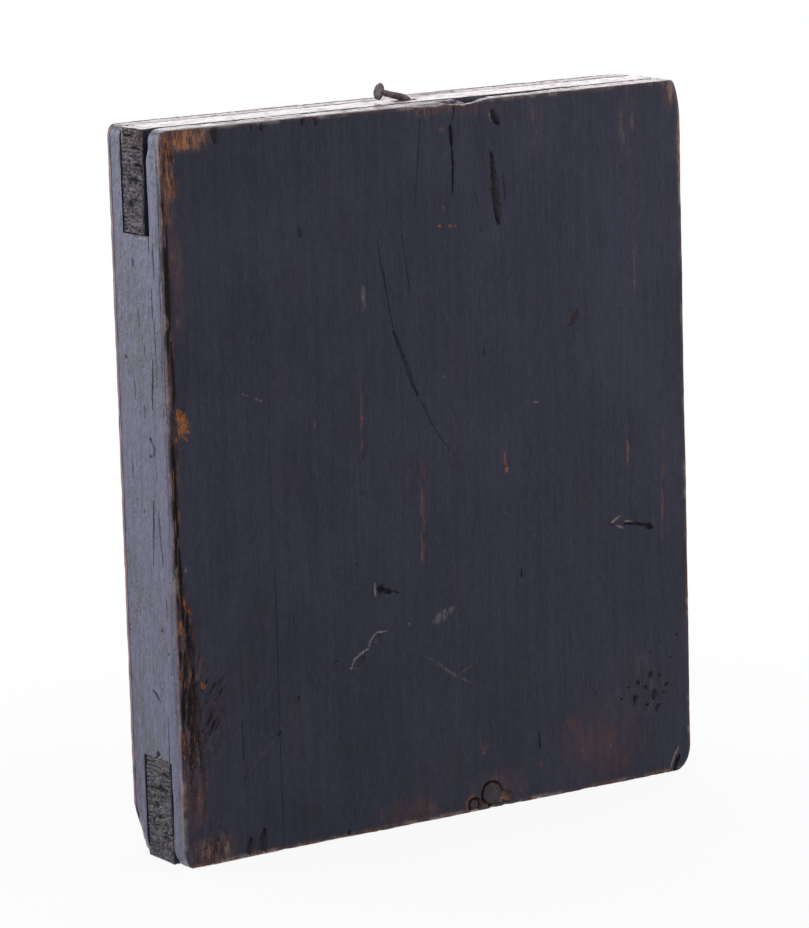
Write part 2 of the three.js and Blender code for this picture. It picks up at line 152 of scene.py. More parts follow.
class IconColours(bpy.types.PropertyGroup):
    """Colours of the finishes."""

    varnish: colour("Varnish", "Blackened varnish over the wood", (0.0066, 0.0070, 0.0175))
    haze: colour("Haze", "Varnish where handling and dust have greyed it", (0.0285, 0.0288, 0.0545))
    # Side haze is greyed varnish made lighter and bluer as a painted reflection of the lamps on the sides
    side_haze_and_sheen: colour("Side haze", "The same on the panel's sides, greyed more", (0.083, 0.081, 0.182))
    umber: colour("Umber", "Thin brown varnish over wood", (0.030, 0.013, 0.010))
    amber: colour("Amber", "Bare wood that the varnish has left", (0.440, 0.150, 0.042))
    # Rim is reddish varnish made pale pink, partly a painted highlight of light caught on the front layers'
    # edge
    rim: colour("Rim", "Reddish varnish where the front layers end", (0.300, 0.150, 0.165))
    dust: colour("Dust", "Pale dust, fibres and scratches", (0.42, 0.36, 0.33))
    # Pit is grime and painted shade at the bottoms of cracks and holes
    pit: colour("Pit", "The bottoms of cracks and holes", (0.0080, 0.0068, 0.0100))
    stain: colour("Stain", "Reddish stain under the varnish", (0.072, 0.026, 0.022))
    bare_wood: colour("Bare wood", "Wood that was never varnished", (0.40, 0.25, 0.12))
    iron: colour("Iron", "Dark forged iron", (0.034, 0.031, 0.040))
    rust: colour("Rust", "Old rust", (0.052, 0.028, 0.025))
    worn_iron: colour("Worn iron", "Iron of the hanging nail, dusty and rubbed", (0.172, 0.130, 0.138))
    worn_rust: colour("Worn rust", "Rust on the hanging nail", (0.105, 0.070, 0.072))
    linen: colour("Linen", "Glued linen", (0.42, 0.33, 0.20))
    gesso: colour("Gesso", "Aged chalk ground", (0.68, 0.58, 0.41))
    red: colour("Red", "Dark red paint", (0.17, 0.025, 0.016))
    ochre: colour("Ochre", "Ochre paint", (0.33, 0.17, 0.055))
    gold: colour("Gold", "Worn gilding", (0.56, 0.35, 0.11))
    green: colour("Green", "Dark green paint", (0.055, 0.062, 0.022))
    brown: colour("Brown", "Dark brown paint", (0.060, 0.024, 0.012))


class IconStage(bpy.types.PropertyGroup):
    """The studio."""

    floor: length("Floor", "Side of the square floor", 9.0)
    lamp_distance: length("Lamp distance", "From the icon to each lamp behind it", 2.1)
    lamp_width: length("Lamp width", "Width of each lamp", 1.9)
    lamp_height: length("Lamp height", "Height of each lamp", 1.5)
    lamp_glow: glow("Lamp glow", "Brightness of a lamp, where 1 is white", 2.2)
    fill_glow: glow("Fill glow", "Brightness of the lamp in front", 1.6)
    sky_glow: glow("Sky glow", "Brightness of the room's light", 0.72)


# Noise and distances, on arrays of points in millimetres


def hashed(cell, seed):
    """A number from 0 to 1 for each whole-numbered point."""
    x, y, z = (cell[:, i].astype(np.int64).astype(np.uint64) for i in range(3))
    n = x * np.uint64(374761393) + y * np.uint64(668265263) + z * np.uint64(2246822519)
    n += np.uint64(seed * 3266489917)
    n = (n ^ (n >> np.uint64(13))) * np.uint64(1274126177)
    n = (n ^ (n >> np.uint64(16))) * np.uint64(2654435761)
    return ((n >> np.uint64(15)) & np.uint64(0xFFFFFF)).astype(float) / 0xFFFFFF


def noise(points, grain, seed):
    """Smooth noise from 0 to 1. The grain is the size of its lumps, one number or three."""
    place = points / grain
    cell = np.floor(place)
    share = place - cell
    share = share * share * (3 - 2 * share)
    total = np.zeros(len(points))
    for corner in itertools.product((0, 1), repeat=3):
        weight = np.prod(np.where(corner, share, 1 - share), axis=1)
        total += weight * hashed(cell + corner, seed)
    return total


def rough_noise(points, grain, seed, octaves=3):
    """Noise with finer and weaker noise on it, from 0 to 1."""
    grain = np.asarray(grain, float)
    total, weights = np.zeros(len(points)), 0
    for octave in range(octaves):
        total += noise(points, grain / 2**octave, seed + octave) / 2**octave
        weights += 1 / 2**octave
    return total / weights


def smooth(value, low, high):
    """0 below low and 1 above high, with a soft step between."""
    share = np.clip((value - low) / (high - low), 0, 1)
    return share * share * (3 - 2 * share)


def worn_corner(a, b, wide, tall=None):
    """The distance to two faces that meet in a quarter ellipse. Distances are negative inside."""
    tall = wide if tall is None else tall
    u = np.maximum(a + wide, 0)
    v = np.maximum(b + tall, 0)
    scaled = np.hypot(u / wide, v / tall)
    reach = np.hypot(u, v)
    return np.where(scaled > 0, reach - reach / np.maximum(scaled, 1e-6), np.maximum(a, b))


def off_line(flat, line):
    """How far each flat point is from a broken line, and how far along the line, from 0 to 1."""
    line = np.asarray(line, float)
    if len(line) == 1:
        return np.hypot(*(flat - line[0]).T), np.full(len(flat), 0.5)
    steps = np.linalg.norm(np.diff(line, axis=0), axis=1)
    best, along = np.full(len(flat), np.inf), np.zeros(len(flat))
    for start, end, step, before in zip(line[:-1], line[1:], steps, np.cumsum(steps) - steps):
        share = np.clip((flat - start) @ (end - start) / step**2, 0, 1)
        gap = np.hypot(*(flat - start - share[:, None] * (end - start)).T)
        nearer = gap < best
        best[nearer] = gap[nearer]
        along[nearer] = (before + share * step)[nearer] / steps.sum()
    return best, along


# Meshes as arrays: the skin of a grid of cells, and edges split until they are short enough


def skin_of_cells(xs, ys, zs, solid):
    """The closed skin round the solid cells of a grid, as points and outward triangles."""
    grid = np.arange(len(xs) * len(ys) * len(zs)).reshape(len(xs), len(ys), len(zs))
    padded = np.pad(solid.astype(int), 1)
    quads = []
    for axis in range(3):
        cells = np.moveaxis(padded, axis, 0)
        corner = np.moveaxis(grid, axis, 0)
        change = np.diff(cells, axis=0)[:, 1:-1, 1:-1]
        round_about = [corner[:, :-1, :-1], corner[:, 1:, :-1], corner[:, 1:, 1:], corner[:, :-1, 1:]]
        ahead = -1 if axis != 1 else 1
        quads.append(np.stack([c[change == ahead] for c in round_about], axis=1))
        quads.append(np.stack([c[change == -ahead] for c in round_about[::-1]], axis=1))
    quads = np.concatenate(quads)
    used, quads = np.unique(quads, return_inverse=True)
    quads = quads.reshape(-1, 4)
    points = np.stack(np.meshgrid(xs, ys, zs, indexing="ij"), axis=-1).reshape(-1, 3)[used]
    triangles = np.concatenate([quads[:, [0, 1, 2]], quads[:, [0, 2, 3]]])
    return points, triangles


def steps_between(*stops, step):
    """The stops, with even steps of about the given size between them."""
    places = [np.linspace(a, b, max(1, round(abs(b - a) / step)) + 1)[:-1] for a, b in zip(stops, stops[1:])]
    return np.append(np.concatenate(places), stops[-1])


def refine(points, triangles, longest, rounds=30):
    """Halves the longest side of each triangle that has a side longer than longest(its middle)."""
    for _ in range(rounds):
        sides = np.sort(triangles[:, [0, 1, 1, 2, 2, 0]].reshape(-1, 2), axis=1)
        keys, side_edge = np.unique(sides[:, 0] * len(points) + sides[:, 1], return_inverse=True)
        edges = np.stack([keys // len(points), keys % len(points)], axis=1)
        side_edge = side_edge.reshape(-1, 3)
        span = np.linalg.norm(points[edges[:, 0]] - points[edges[:, 1]], axis=1)
        middle = (points[edges[:, 0]] + points[edges[:, 1]]) / 2
        too_long = (span > longest(middle))[side_edge].any(axis=1)
        if not too_long.any():
            break
        split = np.zeros(len(edges), bool)
        split[side_edge[np.arange(len(triangles)), span[side_edge].argmax(axis=1)][too_long]] = True
        added = np.full(len(edges), -1)
        added[split] = len(points) + np.arange(split.sum())
        points = np.concatenate([points, middle[split]])
        triangles = split_triangles(triangles, added[side_edge])
    return points, triangles


def split_triangles(triangles, middles):
    """Triangles cut at the new points on their sides, where a middle of -1 means a whole side."""
    count = (middles >= 0).sum(axis=1)
    made = [triangles[count == 0]]
    for turn in range(3):
        a, b, c = np.roll(triangles, -turn, axis=1).T
        ab, bc, ca = np.roll(middles, -turn, axis=1).T
        one = (count == 1) & (ab >= 0)
        made += [np.stack([a, ab, c], 1)[one], np.stack([ab, b, c], 1)[one]]
        two = (count == 2) & (ca < 0)
        made += [np.stack([ab, b, bc], 1)[two], np.stack([a, ab, bc], 1)[two], np.stack([a, bc, c], 1)[two]]
    a, b, c = triangles[count == 3].T
    ab, bc, ca = middles[count == 3].T
    made += [np.stack(t, 1) for t in ((a, ab, ca), (ab, b, bc), (ca, bc, c), (ab, bc, ca))]
    return np.concatenate(made)


def slope_of(distance, points, step=0.02):
    """The outward direction in which a distance grows, and its steepness."""
    grown = [distance(points + step * axis) - distance(points - step * axis) for axis in np.eye(3)]
    slope = np.stack(grown, axis=1) / (2 * step)
    steepness = np.maximum(np.linalg.norm(slope, axis=1), 1e-6)
    return slope / steepness[:, None], steepness


def settle(points, distance, rounds=3):
    """Points moved on to the surface where a distance is nought, and the outward directions there."""
    for _ in range(rounds):
        outward, steepness = slope_of(distance, points)
        points = points - outward * (distance(points) / steepness)[:, None]
    return points, slope_of(distance, points)[0]


# Marks, by their look. Each has a width and a depth in millimetres, and then the points of the line that it
# follows: x and z on the back, y and z on the side, x and y on the top. A look says how much bare wood,
# darkness, pale dust and stain shows. The darkness is grime and painted shade in the hollows of the marks.

LOOKS = {
    "crack": (0, 0.9, 0, 0), "scratch": (0, 0.42, 0, 0), "groove": (0, 0.2, 0.03, 0),
    "gash": (0.03, 0.66, 0.05, 0), "seam": (0, 0.4, 0, 0), "shade": (0, 0.3, 0, 0), "dent": (0, 0.15, 0, 0),
    "pit": (0, 0.6, 0, 0.1), "amber": (1, 0, 0, 0.1), "ember": (0.6, 0.3, 0, 0.6),
    "umber": (0.22, 0.1, 0, 0.5), "scuff": (0, 0, 0.16, 0), "speck": (0.05, 0, 0.2, 0),
    "rim": (0.1, 0, 0.4, 0), "stain": (0, 0, 0, 0.65), "chip": (0.12, 0.5, 0, 0.1),
    "notch": (0.03, 0.6, 0, 0.1), "fibre": (0.25, 0, 0.4, 0), "strip": (0.03, 0.9, 0, 1),
}

BACK_MARKS = {
    "scratch": [
        (0.8, 0.4, (-13.5, 311), (-12.6, 305), (-10.6, 299)), (0.7, 0.4, (-37.6, 279), (-38.4, 266)),
        (0.6, 0.3, (4.4, 308), (6, 290), (8.4, 268)), (0.6, 0.25, (-21.5, 275), (-24.5, 262), (-26, 246)),
        (0.7, 0.5, (88.7, 310), (88.4, 305.6)),
        (0.7, 0.45, (27.7, 255), (27, 247), (25.2, 241), (23.5, 229.8), (20.5, 214.5)),
        (2.3, 0.9, (21, 216), (17, 206), (14.6, 199.7), (12.6, 194), (9.6, 187.5)),
        (0.7, 0.4, (15.4, 257), (14.2, 246), (12, 233)),
        (0.7, 0.4, (10, 188.5), (5.8, 180.8), (2.8, 173.8), (-2.4, 166.5), (-8.7, 159.2)),
        (2.4, 0.8, (66.8, 264.5), (66.2, 261.3)), (2, 0.7, (-25, 203.3), (-25.4, 201)),
        (0.5, 0.2, (124.9, 207.5), (105, 201.5), (86.5, 193.3)), (1.6, 0.7, (26.2, 104.2), (22.2, 103.2)),
        (0.8, 0.4, (103.2, 59), (102.9, 42.5)), (0.5, 0.25, (10.6, 15.4), (11.1, 0)),
    ],
    "gash": [
        (2, 2, (-10.8, 301), (-11.3, 297), (-11.2, 291.6)),
        (1.1, 1.4, (-11.2, 292.6), (-11.8, 284), (-11, 271.5)),
        (3.6, 1.8, (-32.6, 305.4), (-33.6, 302.2), (-36.2, 299.4)),
        (2.8, 1.6, (-31.8, 287.5), (-32.4, 281), (-32.8, 275)),
        (4.4, 1.9, (-32.6, 281), (-33.3, 270), (-34.6, 257)), (1.2, 0.7, (116.6, 57.4), (112.8, 63)),
        (1.9, 1, (101.8, 2), (101.2, 6.4)), (2.4, 1.2, (95.2, 2), (94.6, 8.4)),
    ],
    "scuff": [
        (1, 0, (-30.9, 304.6), (-32.4, 300.4)), (0.7, 0, (-30.6, 286), (-30.9, 274), (-32, 264)),
        (3.6, 0.1, (35.8, 237), (35.1, 233.2), (36, 226.4)), (1.6, 0.3, (-76.9, 216), (-74, 214)),
        (1.4, 0.1, (-6, 223), (-7.6, 216.4)), (1.2, 0.1, (-2.4, 196), (-4.6, 193.6)),
        (1, 0.2, (9.8, 73.8), (2.4, 69.4), (-3.4, 64.4), (-14.6, 57.6)),
        (0.8, 0.2, (-3.4, 61.6), (-9.6, 63.6), (-15, 65.6)), (5, 0.2, (4.8, 87.8), (-0.2, 90), (-6, 92.4)),
    ],
    "umber": [
        (2, 0.1, (-5, 299.8), (-8, 299.2)), (1.8, 0.3, (37.7, 196.7), (38.4, 178), (38.4, 167)),
        (3, 0.1, (-50.6, 17.4), (-50.6, 15.2)), (3, 0.15, (7.8, 163.5), (8.4, 140), (9.4, 113.6)),
        (1.2, 0.1, (-106.6, 240), (-107, 215)), (1.2, 0.1, (-120.8, 160.8), (-119.6, 106.8)),
        (2.6, 0.1, (127.4, 233), (126.8, 228.6)),
    ],
    "ember": [
        (1.2, 0.1, (-5.6, 266.3), (-7, 266.1)), (1.2, 0.1, (-3.6, 258.7), (-5.2, 258.5)),
        (1.2, 0.1, (-8, 258.3), (-12.6, 257.8)), (2, 0.2, (110.9, 304.8)),
        (1.5, 0.2, (-34, 160), (-35.5, 151)), (4.4, 0.2, (-20.4, 31.4), (-20.2, 27)),
        (1, 0.2, (61.6, 182.4), (61.6, 179.2)), (1.6, 0.2, (-73.2, 18.4)), (1.4, 0.2, (-89.2, 18.1)),
        (1.3, 0.1, (-101.4, 160), (-101.2, 142.6)), (1.8, 0.3, (131.6, 262), (131.4, 254)),
        (1.8, 0.3, (130.4, 222.4), (130.2, 214.8)), (2.6, 0.5, (130, 184), (131.2, 176)),
        (2.2, 0.5, (130.4, 153.6), (130, 147.6)),
    ],
    "notch": [
        (4.6, 1.2, (107.2, 310.4), (106.6, 307.6), (105.9, 303.6)), (3.4, 0.9, (83.6, 310), (83.4, 306.8)),
        (2.8, 0.9, (63.3, 311), (63.4, 307.4)), (3.2, 0.9, (57.3, 311), (56.8, 307)),
        (3.6, 1.4, (101.4, 0.6), (101.6, 4.4), (100.4, 8.6)), (4.6, 1.6, (94, 0.6), (95, 5), (93.8, 11)),
    ],
    "seam": [
        (0.9, 0.2, (84.5, 122), (84.5, 0)),
    ],
    "dent": [
        (3, 0.5, (92.8, 221.3)), (4.2, 0.7, (39.6, 149.2), (39.6, 147.6)), (3.6, 0.6, (-35.8, 131.1)),
        (3.2, 0.5, (0.2, 90.2), (-3.8, 89)), (4.6, 0.8, (35.6, 84.2), (32, 85.8)),
        (5.2, 0.9, (45.6, 74), (41.4, 77.6)),
    ],
    "chip": [
        (2.8, 1, (-75.9, 215.4), (-73.6, 211.4), (-71.2, 208.4)), (1.8, 0.6, (38.6, 166.4), (38.4, 163)),
    ],
    "speck": [
        (1.2, 0.1, (-51, 177.4), (-53.6, 176.6)), (0.5, 0.1, (98, 198.6), (94, 196.9)),
        (0.5, 0.1, (91, 195.6), (87.5, 193.9)), (1.3, 0.1, (-20, 25.8)), (1, 0.2, (17.5, 89.2), (16.5, 88.4)),
        (1.4, 0.2, (128, 129), (127.8, 127)),
    ],
    "amber": [
        (2, 0.2, (-35.8, 150.4), (-35.8, 148.2)), (2.4, 0.5, (132, 282), (132, 271)),
        (5.6, 0.7, (128.6, 195), (126.4, 189), (128, 184)), (1.2, 0.4, (126.4, 186.4), (122.8, 185.4)),
        (1.2, 0.4, (127, 184.6), (124.4, 181.8)), (1.8, 0.6, (131.4, 175), (131.2, 163)),
        (2.4, 0.8, (131, 120.6), (129.6, 114.6), (125.6, 108.4)), (1.8, 0.6, (131.4, 107), (131.2, 101)),
        (2.6, 0.4, (122, 79), (120.6, 76.4)), (1.2, 0.5, (126.2, 72.6), (126.4, 66.4)),
        (1.8, 0.6, (131.9, 60), (131.6, 48)),
    ],
    "crack": [
        (0.9, 0.6, (-42.4, 105), (-42.5, 100.6)), (1, 0.7, (-49.8, 30.5), (-50.3, 22.6)),
        (5, 1.7, (32.6, 106.4), (30, 105.6)), (3.2, 1.3, (30, 105.2), (26, 104.2)),
        (1.9, 1, (-98.6, 117), (-105, 116.2), (-112.6, 114)), (3.4, 1.4, (-110.2, 114.8), (-113.9, 113.2)),
        (1.8, 1, (51.2, 0), (51, 3.6)), (2.2, 1.4, (-127, 7.4), (-123.4, 0.2)),
    ],
    "rim": [
        (0.9, 0, (34.3, 109.4), (34.3, 103.4)),
        (0.8, 0, (38.6, 80.8), (37.4, 84.6), (34, 87.6), (28.8, 87.4)),
        (0.8, 0, (48.4, 72.6), (45.6, 77.6), (41, 80.4), (38.4, 81.2)),
    ],
    "groove": [
        (4.2, 1, (74.4, 65.3), (82.1, 53.8)), (3.6, 0.9, (84.1, 52), (94, 43.7), (102.8, 35.2)),
        (2.2, 0.6, (55, 78.4), (59.6, 72.6)), (2, 0.7, (123, 66.8), (120.6, 70), (115.4, 77.7)),
        (2.2, 0.8, (122.1, 58), (117.9, 64.4), (111.6, 74.6)), (1.8, 0.7, (124.3, 72.8), (119.2, 80)),
        (2, 0.8, (121.3, 53.8), (116.1, 61.6)),
    ],
    "fibre": [
        (1.3, 0.3, (-91.4, 118.2), (-96.1, 120.8)), (1, 0.4, (-94, 117), (-98.2, 115.1)),
        (0.9, 0.4, (-98.6, 118.4), (-103.2, 117.2)), (1.1, 0.4, (-124.8, 9.6), (-121.8, 1.8)),
        (0.9, 0.3, (-126.6, 11.4), (-124.2, 7)), (1.5, 0.6, (127.6, 87.4), (127.2, 78.4)),
        (1.3, 0.5, (125.2, 54.6), (124.4, 43.4)),
    ],
    "pit": [
        (1.9, 0.5, (-126.3, 62.6)), (3.4, 1.1, (-112.2, 47.4), (-111.2, 45.8)),
        (3.2, 1, (-105.2, 44.2), (-104, 43.4)), (2.4, 0.8, (-116.6, 45.6)),
        (3, 0.9, (-104.6, 37.6), (-102.6, 36.2)), (4.2, 1.2, (-114, 39), (-113.4, 35.4)),
        (2.6, 0.8, (-121, 41.4), (-119.4, 40.6)), (3, 0.9, (-116.4, 32.4), (-114.4, 29.8)),
        (2.4, 0.8, (-109.2, 41.8), (-108.2, 41)), (2.2, 0.7, (-118.4, 37.4)),
        (2.4, 0.8, (-110, 33.4), (-108.8, 32.8)), (1.8, 0.6, (-99.4, 42.4)),
        (1.9, 0.5, (-95.8, 38), (-94.6, 37.4)), (1.6, 0.4, (-80.4, 43.2)), (1.6, 0.4, (-93.6, 39.3)),
        (1.5, 0.4, (-111.2, 56.6)), (1.6, 0.4, (-116.9, 60.9)), (1.5, 0.4, (-95.6, 59.6)),
        (1.4, 0.4, (-122.6, 53)), (1.3, 0.4, (-108.4, 31)),
    ],
    "stain": [
        (8, 0, (-66, 34.2), (-68, 28.2)), (9, 0, (-74.3, 22.2), (-74.3, 16)),
        (8, 0, (-90.6, 24), (-88, 12.4)), (6, 0, (-95, 8), (-97, 12)),
    ],
    "strip": [
        (1.6, 0.3, (130.9, 272), (131, 250), (130.8, 228)),
        (2, 0.4, (130.7, 224), (130.1, 205), (130.5, 196)),
        (2, 0.5, (130.9, 182), (131.1, 160), (130.5, 142)),
        (2.2, 0.5, (130.5, 138), (129.9, 118), (129.4, 104)),
    ],
}

SIDE_MARKS = {
    "shade": [
        (0.7, 0.5, (17.6, 303), (18, 286), (17.4, 262), (18.2, 244)),
        (0.5, 0.4, (18.9, 296), (19, 276), (18.8, 254)), (0.6, 0.4, (16.4, 252), (16.8, 226), (16, 204)),
        (0.5, 0.35, (18.4, 236), (18, 214), (18.5, 190)), (0.5, 0.35, (17, 186), (17.6, 160), (17, 138)),
    ],
    "scratch": [
        (0.5, 0.4, (11.6, 232), (12, 216), (11.6, 204)), (0.8, 0.6, (9.9, 269.4), (9.1, 259)),
        (0.8, 0.6, (10.4, 245.6), (10.3, 232)), (0.9, 0.8, (9.2, 151.7), (10, 140), (11.4, 128.8)),
        (0.6, 0.5, (10.8, 64), (10.2, 40)), (0.9, 0.6, (12.4, 264), (12.8, 249)),
        (0.7, 0.4, (-1, 236), (-0.6, 228)), (0.6, 0.4, (3, 222), (3.4, 213)),
        (0.7, 0.4, (-6, 205), (-5.7, 197)), (0.6, 0.4, (1, 196), (1.2, 190)),
        (0.7, 0.4, (-10.6, 172), (-10.2, 163)), (0.7, 0.4, (12.8, 116), (13, 106)),
    ],
    "crack": [
        (1.1, 1, (9.3, 215.4), (8.2, 204), (7.4, 194.3)), (1.1, 0.9, (5.6, 156.2), (4.8, 143), (3.6, 128.3)),
        (1.6, 1, (-1.4, 74.1), (1.6, 72.6), (4.8, 70)), (1.4, 1.6, (8.7, 101.1)),
    ],
    "pit": [
        (2.2, 0.8, (4.2, 182.1), (6.2, 180)), (1.8, 0.7, (4, 173.8), (5.4, 175)),
    ],
    "gash": [
        (1.4, 0.8, (6.2, 180), (8, 177.6), (7, 174.6)),
    ],
    "chip": [
        (3.6, 2.4, (1.4, 44), (1.6, 47.8)), (2.4, 1.4, (5, 44), (4.2, 45.8)),
    ],
    "dent": [
        (2, 0.5, (13.4, 91.6)), (1.8, 0.4, (15, 83)), (2.4, 0.5, (-2, 150)), (2, 0.5, (-12, 214)),
        (2.6, 0.5, (-3.6, 256), (-3.4, 253)),
    ],
}

TOP_MARKS = {
    "crack": [
        (1.2, 1.6, (12, 14.6), (-2, 13.4), (-18, 14.6)), (1, 1.2, (-33, 13), (-52, 12)),
    ],
    "chip": [
        (2.6, 1, (-14, -14.6), (-40, -15.2)),
    ],
    "scratch": [
        (1, 0.7, (104, 13.6), (62, 14.4)), (0.8, 0.6, (44, 12.4), (20, 13.2)),
    ],
}

# Rough places on the back: middle, half width and half height, the look, how deep the fibres stand and
# how far they lean
BACK_ZONES = [
    ((123.5, 306.4), (13.5, 5.4), (1.1, 0.35, 0.12, 0.4), 0.35, 0),
    ((130, 292), (5, 17), (0.8, 0.6, 0.06, 0.6), 0.5, 0),
    ((132.1, 244), (2.5, 56), (0.18, 1.1, 0, 1), 0.6, 0),
    ((127.4, 252), (4.6, 28), (0.1, 0.1, 0.06, 0.5), 0.1, 0),
    ((131.8, 150), (2.8, 64), (0.16, 1.1, 0, 1), 0.7, 0),
    ((127.2, 68), (7, 40), (0.14, 0.85, 0.05, 0.7), 1.7, 0.1),
    ((128.4, 96), (4.6, 22), (0.1, 0.85, 0.02, 0.8), 1.3, 0),
    ((116, 64), (7, 20), (0.03, 0.3, 0.06, 0.2), 1.6, 0.6),
    ((126.8, 32), (7.6, 14), (0.22, 0.5, 0.08, 1), 0.9, 0.1),
    ((120.5, 6), (12, 8), (0.36, 0.25, 0.2, 0.8), 0.5, 0),
    ((110, 0.6), (22, 2.6), (0.3, 0.1, 0.3, 0.6), 0.3, 0), ((17, 5), (18, 8), (0.16, 0.2, 0.05, 0.5), 0.2, 0),
    ((-82, 22), (24, 20), (0.03, 0, 0, 0.5), 0.05, 0), ((-105, 42), (19, 20), (0, 0.14, 0.04, 0.1), 0.3, 0),
    ((-27, 7), (15, 9), (0.14, 0.2, 0.05, 0.4), 0.1, 0), ((-133.4, 284), (2.4, 30), (1, 0, 0.4, 0.8), 0.1, 0),
    ((-133.6, 170), (1.9, 110), (0.14, 0, 0.24, 0.8), 0.1, 0),
    ((-128, 305), (5.5, 7.5), (0.26, 0.1, 0.26, 0.7), 0.2, 0),
    ((-105, 293), (7, 20), (0.02, 0, 0.1, 0.2), 0.05, 0),
    ((-106, 252), (4, 40), (0.01, 0, 0.05, 0.15), 0.03, 0),
    ((-55, 297), (4, 17), (0.02, 0, 0.08, 0.25), 0.05, 0),
    ((-1, 308.6), (11, 3.6), (0.1, 0.1, 0.12, 1), 0.3, 0),
    ((-22, 307.4), (12, 3.6), (0.06, 0.1, 0.02, 0.5), 0.2, 0),
]

# The same on the side that the photograph shows, by y and z
SIDE_ZONES = [
    ((-11.8, 112), (9.5, 34), (0, 0.42, 0, 0), 0.12, 0), ((17.6, 250), (2.6, 60), (0, 0.3, 0, 0.5), 0.3, 0),
    ((17.8, 90), (2.4, 80), (0.06, 0.4, 0, 0.4), 0.4, 0), ((-3, 20), (16, 18), (0, 0.25, 0.04, 0.2), 0.2, 0),
]


# Where torn fibres stand on the back: middle, half width and half height, and how thickly
SPLINTERED = [
    ((127.4, 66), (5.4, 38), 0.8), ((120, 7), (9, 8), 0.7), ((128.8, 297), (4.2, 12), 0.3),
    ((-96.5, 118), (5.5, 2.2), 1.6), ((-30, 3), (7, 2.4), 1), ((-17.5, 4), (1.8, 2), 0.8),
    ((4, 2.4), (14, 2), 0.3),
]


# Points that face a mark less than this stay clear of it
LEAST_LIFT = 0.02


def marks_near(flat, marks, here):
    """Look, width, depth and line of each mark, with the points near it and how far off its line and
    along it they are. Only points that are marked as here count."""
    for look, rows in marks.items():
        for width, sunk, *line in rows:
            low, high = np.min(line, axis=0) - width, np.max(line, axis=0) + width
            near = np.where(here & ((flat > low) & (flat < high)).all(axis=1))[0]
            if len(near):
                yield look, width, sunk, line, near, *off_line(flat[near], line)


def apply_marks(flat, marks, lift, depth, looks):
    """Adds the marks' depths and looks at flat points. The lift says how fully a point faces them."""
    for look, width, sunk, line, near, gap, along in marks_near(flat, marks, lift > LEAST_LIFT):
        ends = np.sqrt(np.clip(4 * along * (1 - along), 0.12, 1)) if len(line) > 1 else 1
        spot = np.column_stack([flat[near], np.full(len(near), width * 7)])
        ragged = 0.55 + 0.9 * rough_noise(spot, (0.8, 1.9, 1), 31)
        share = gap / (width / 2 * ends * ragged)
        hollow = np.clip(1 - share**2, 0, 1) * lift[near]
        depth[near] = np.maximum(depth[near], sunk * hollow * (0.85 + 0.3 * noise(spot, 1.1, 32)))
        cover = smooth(1.25 - share, 0, 0.9) * lift[near]
        if look in ("umber", "ember", "scuff"):
            cover *= smooth(rough_noise(spot, (1.1, 6, 1), 33), 0.3, 0.62)
        looks[near] = np.maximum(looks[near], cover[:, None] * LOOKS[look])


def zone_cover(flat, middle, half):
    """How fully a point lies in an oval zone with a ragged edge."""
    spot = np.column_stack([flat, np.full(len(flat), middle[0])])
    ragged = 1.2 * (rough_noise(spot, (3.4, 8, 1), 41, 5) - 0.5)
    share = np.hypot((flat[:, 0] - middle[0]) / half[0], (flat[:, 1] - middle[1]) / half[1])
    return smooth(1.1 - share + ragged, -0.1, 0.95)


def apply_zones(flat, zones, lift, depth, looks):
    """Adds the rough zones: fibres that stand and fall along the grain."""
    for middle, half, look, relief, lean in zones:
        close = (np.abs(flat - middle) < np.array(half) * 1.9 + 1).all(axis=1)
        near = np.where(close & (lift > LEAST_LIFT))[0]
        spot = flat[near]
        cover = zone_cover(spot, middle, half) * lift[near]
        along = np.column_stack([spot[:, 0] + lean * spot[:, 1], spot[:, 1], spot[:, 0] * 0])
        fibres = rough_noise(along, (1.1, 7.0, 1.0), 51)
        tufts = rough_noise(along, (2.6, 14.0, 1.0), 57, 2)
        bare, dark, pale, stain = look
        low = 0.46 - 0.14 * bare
        lump = smooth(fibres * 0.6 + tufts * 0.4, low, low + 0.3)
        depth[near] += cover * relief * (1 - lump)
        shares = [bare * (0.2 + 0.8 * lump), dark * (1 - 0.85 * lump), pale * lump**2, stain + 0 * lump]
        shares = np.stack(shares, axis=1)
        looks[near] = np.maximum(looks[near], cover[:, None] * shares)


# Making pieces


def settings(context):
    """The sizes and colours that the user has set."""
    return context.scene.icon_sizes, context.scene.icon_colours


def make_piece(name, nodes, slot, points, triangles, materials, material_of=None, looks=None, crease=38):
    """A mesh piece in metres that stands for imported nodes. Sharper folds than the crease stay sharp."""
    mesh = bpy.data.meshes.new(name)
    mesh.from_pydata((points * MM).tolist(), [], triangles.tolist())
    for material in materials:
        mesh.materials.append(material)
    if material_of is not None:
        mesh.polygons.foreach_set("material_index", np.asarray(material_of, np.int32))
    if looks is not None:
        wear = mesh.attributes.new("wear", "FLOAT_COLOR", "POINT")
        wear.data.foreach_set("color", np.clip(looks, 0, 1).astype(np.float32).ravel())
    mesh.polygons.foreach_set("use_smooth", np.ones(len(triangles), bool))
    mesh.update()
    mesh.set_sharp_from_angle(angle=math.radians(crease))
    if mesh.validate():
        raise RuntimeError(f"{name} has faces that Blender had to mend")
    piece = bpy.data.objects.new(name, mesh)
    bpy.context.scene.collection.objects.link(piece)
    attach(piece, BODY)
    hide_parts(*nodes)


def mesh_points(mesh):
    """A mesh's points, in metres."""
    found = np.zeros(len(mesh.vertices) * 3)
    mesh.vertices.foreach_get("co", found)
    return found.reshape(-1, 3)


def node_shell(name):
    """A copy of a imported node's mesh with its doubles merged, as points in millimetres and triangles."""
    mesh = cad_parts[name].data
    raw = mesh_points(mesh) / MM
    corners = np.array([p.vertices[:] for p in mesh.polygons])
    _, first, same = np.unique(np.round(raw, 3), axis=0, return_index=True, return_inverse=True)
    triangles = same.reshape(-1)[corners]
    a, b, c = triangles.T
    return raw[first], triangles[(a != b) & (b != c) & (c != a)]


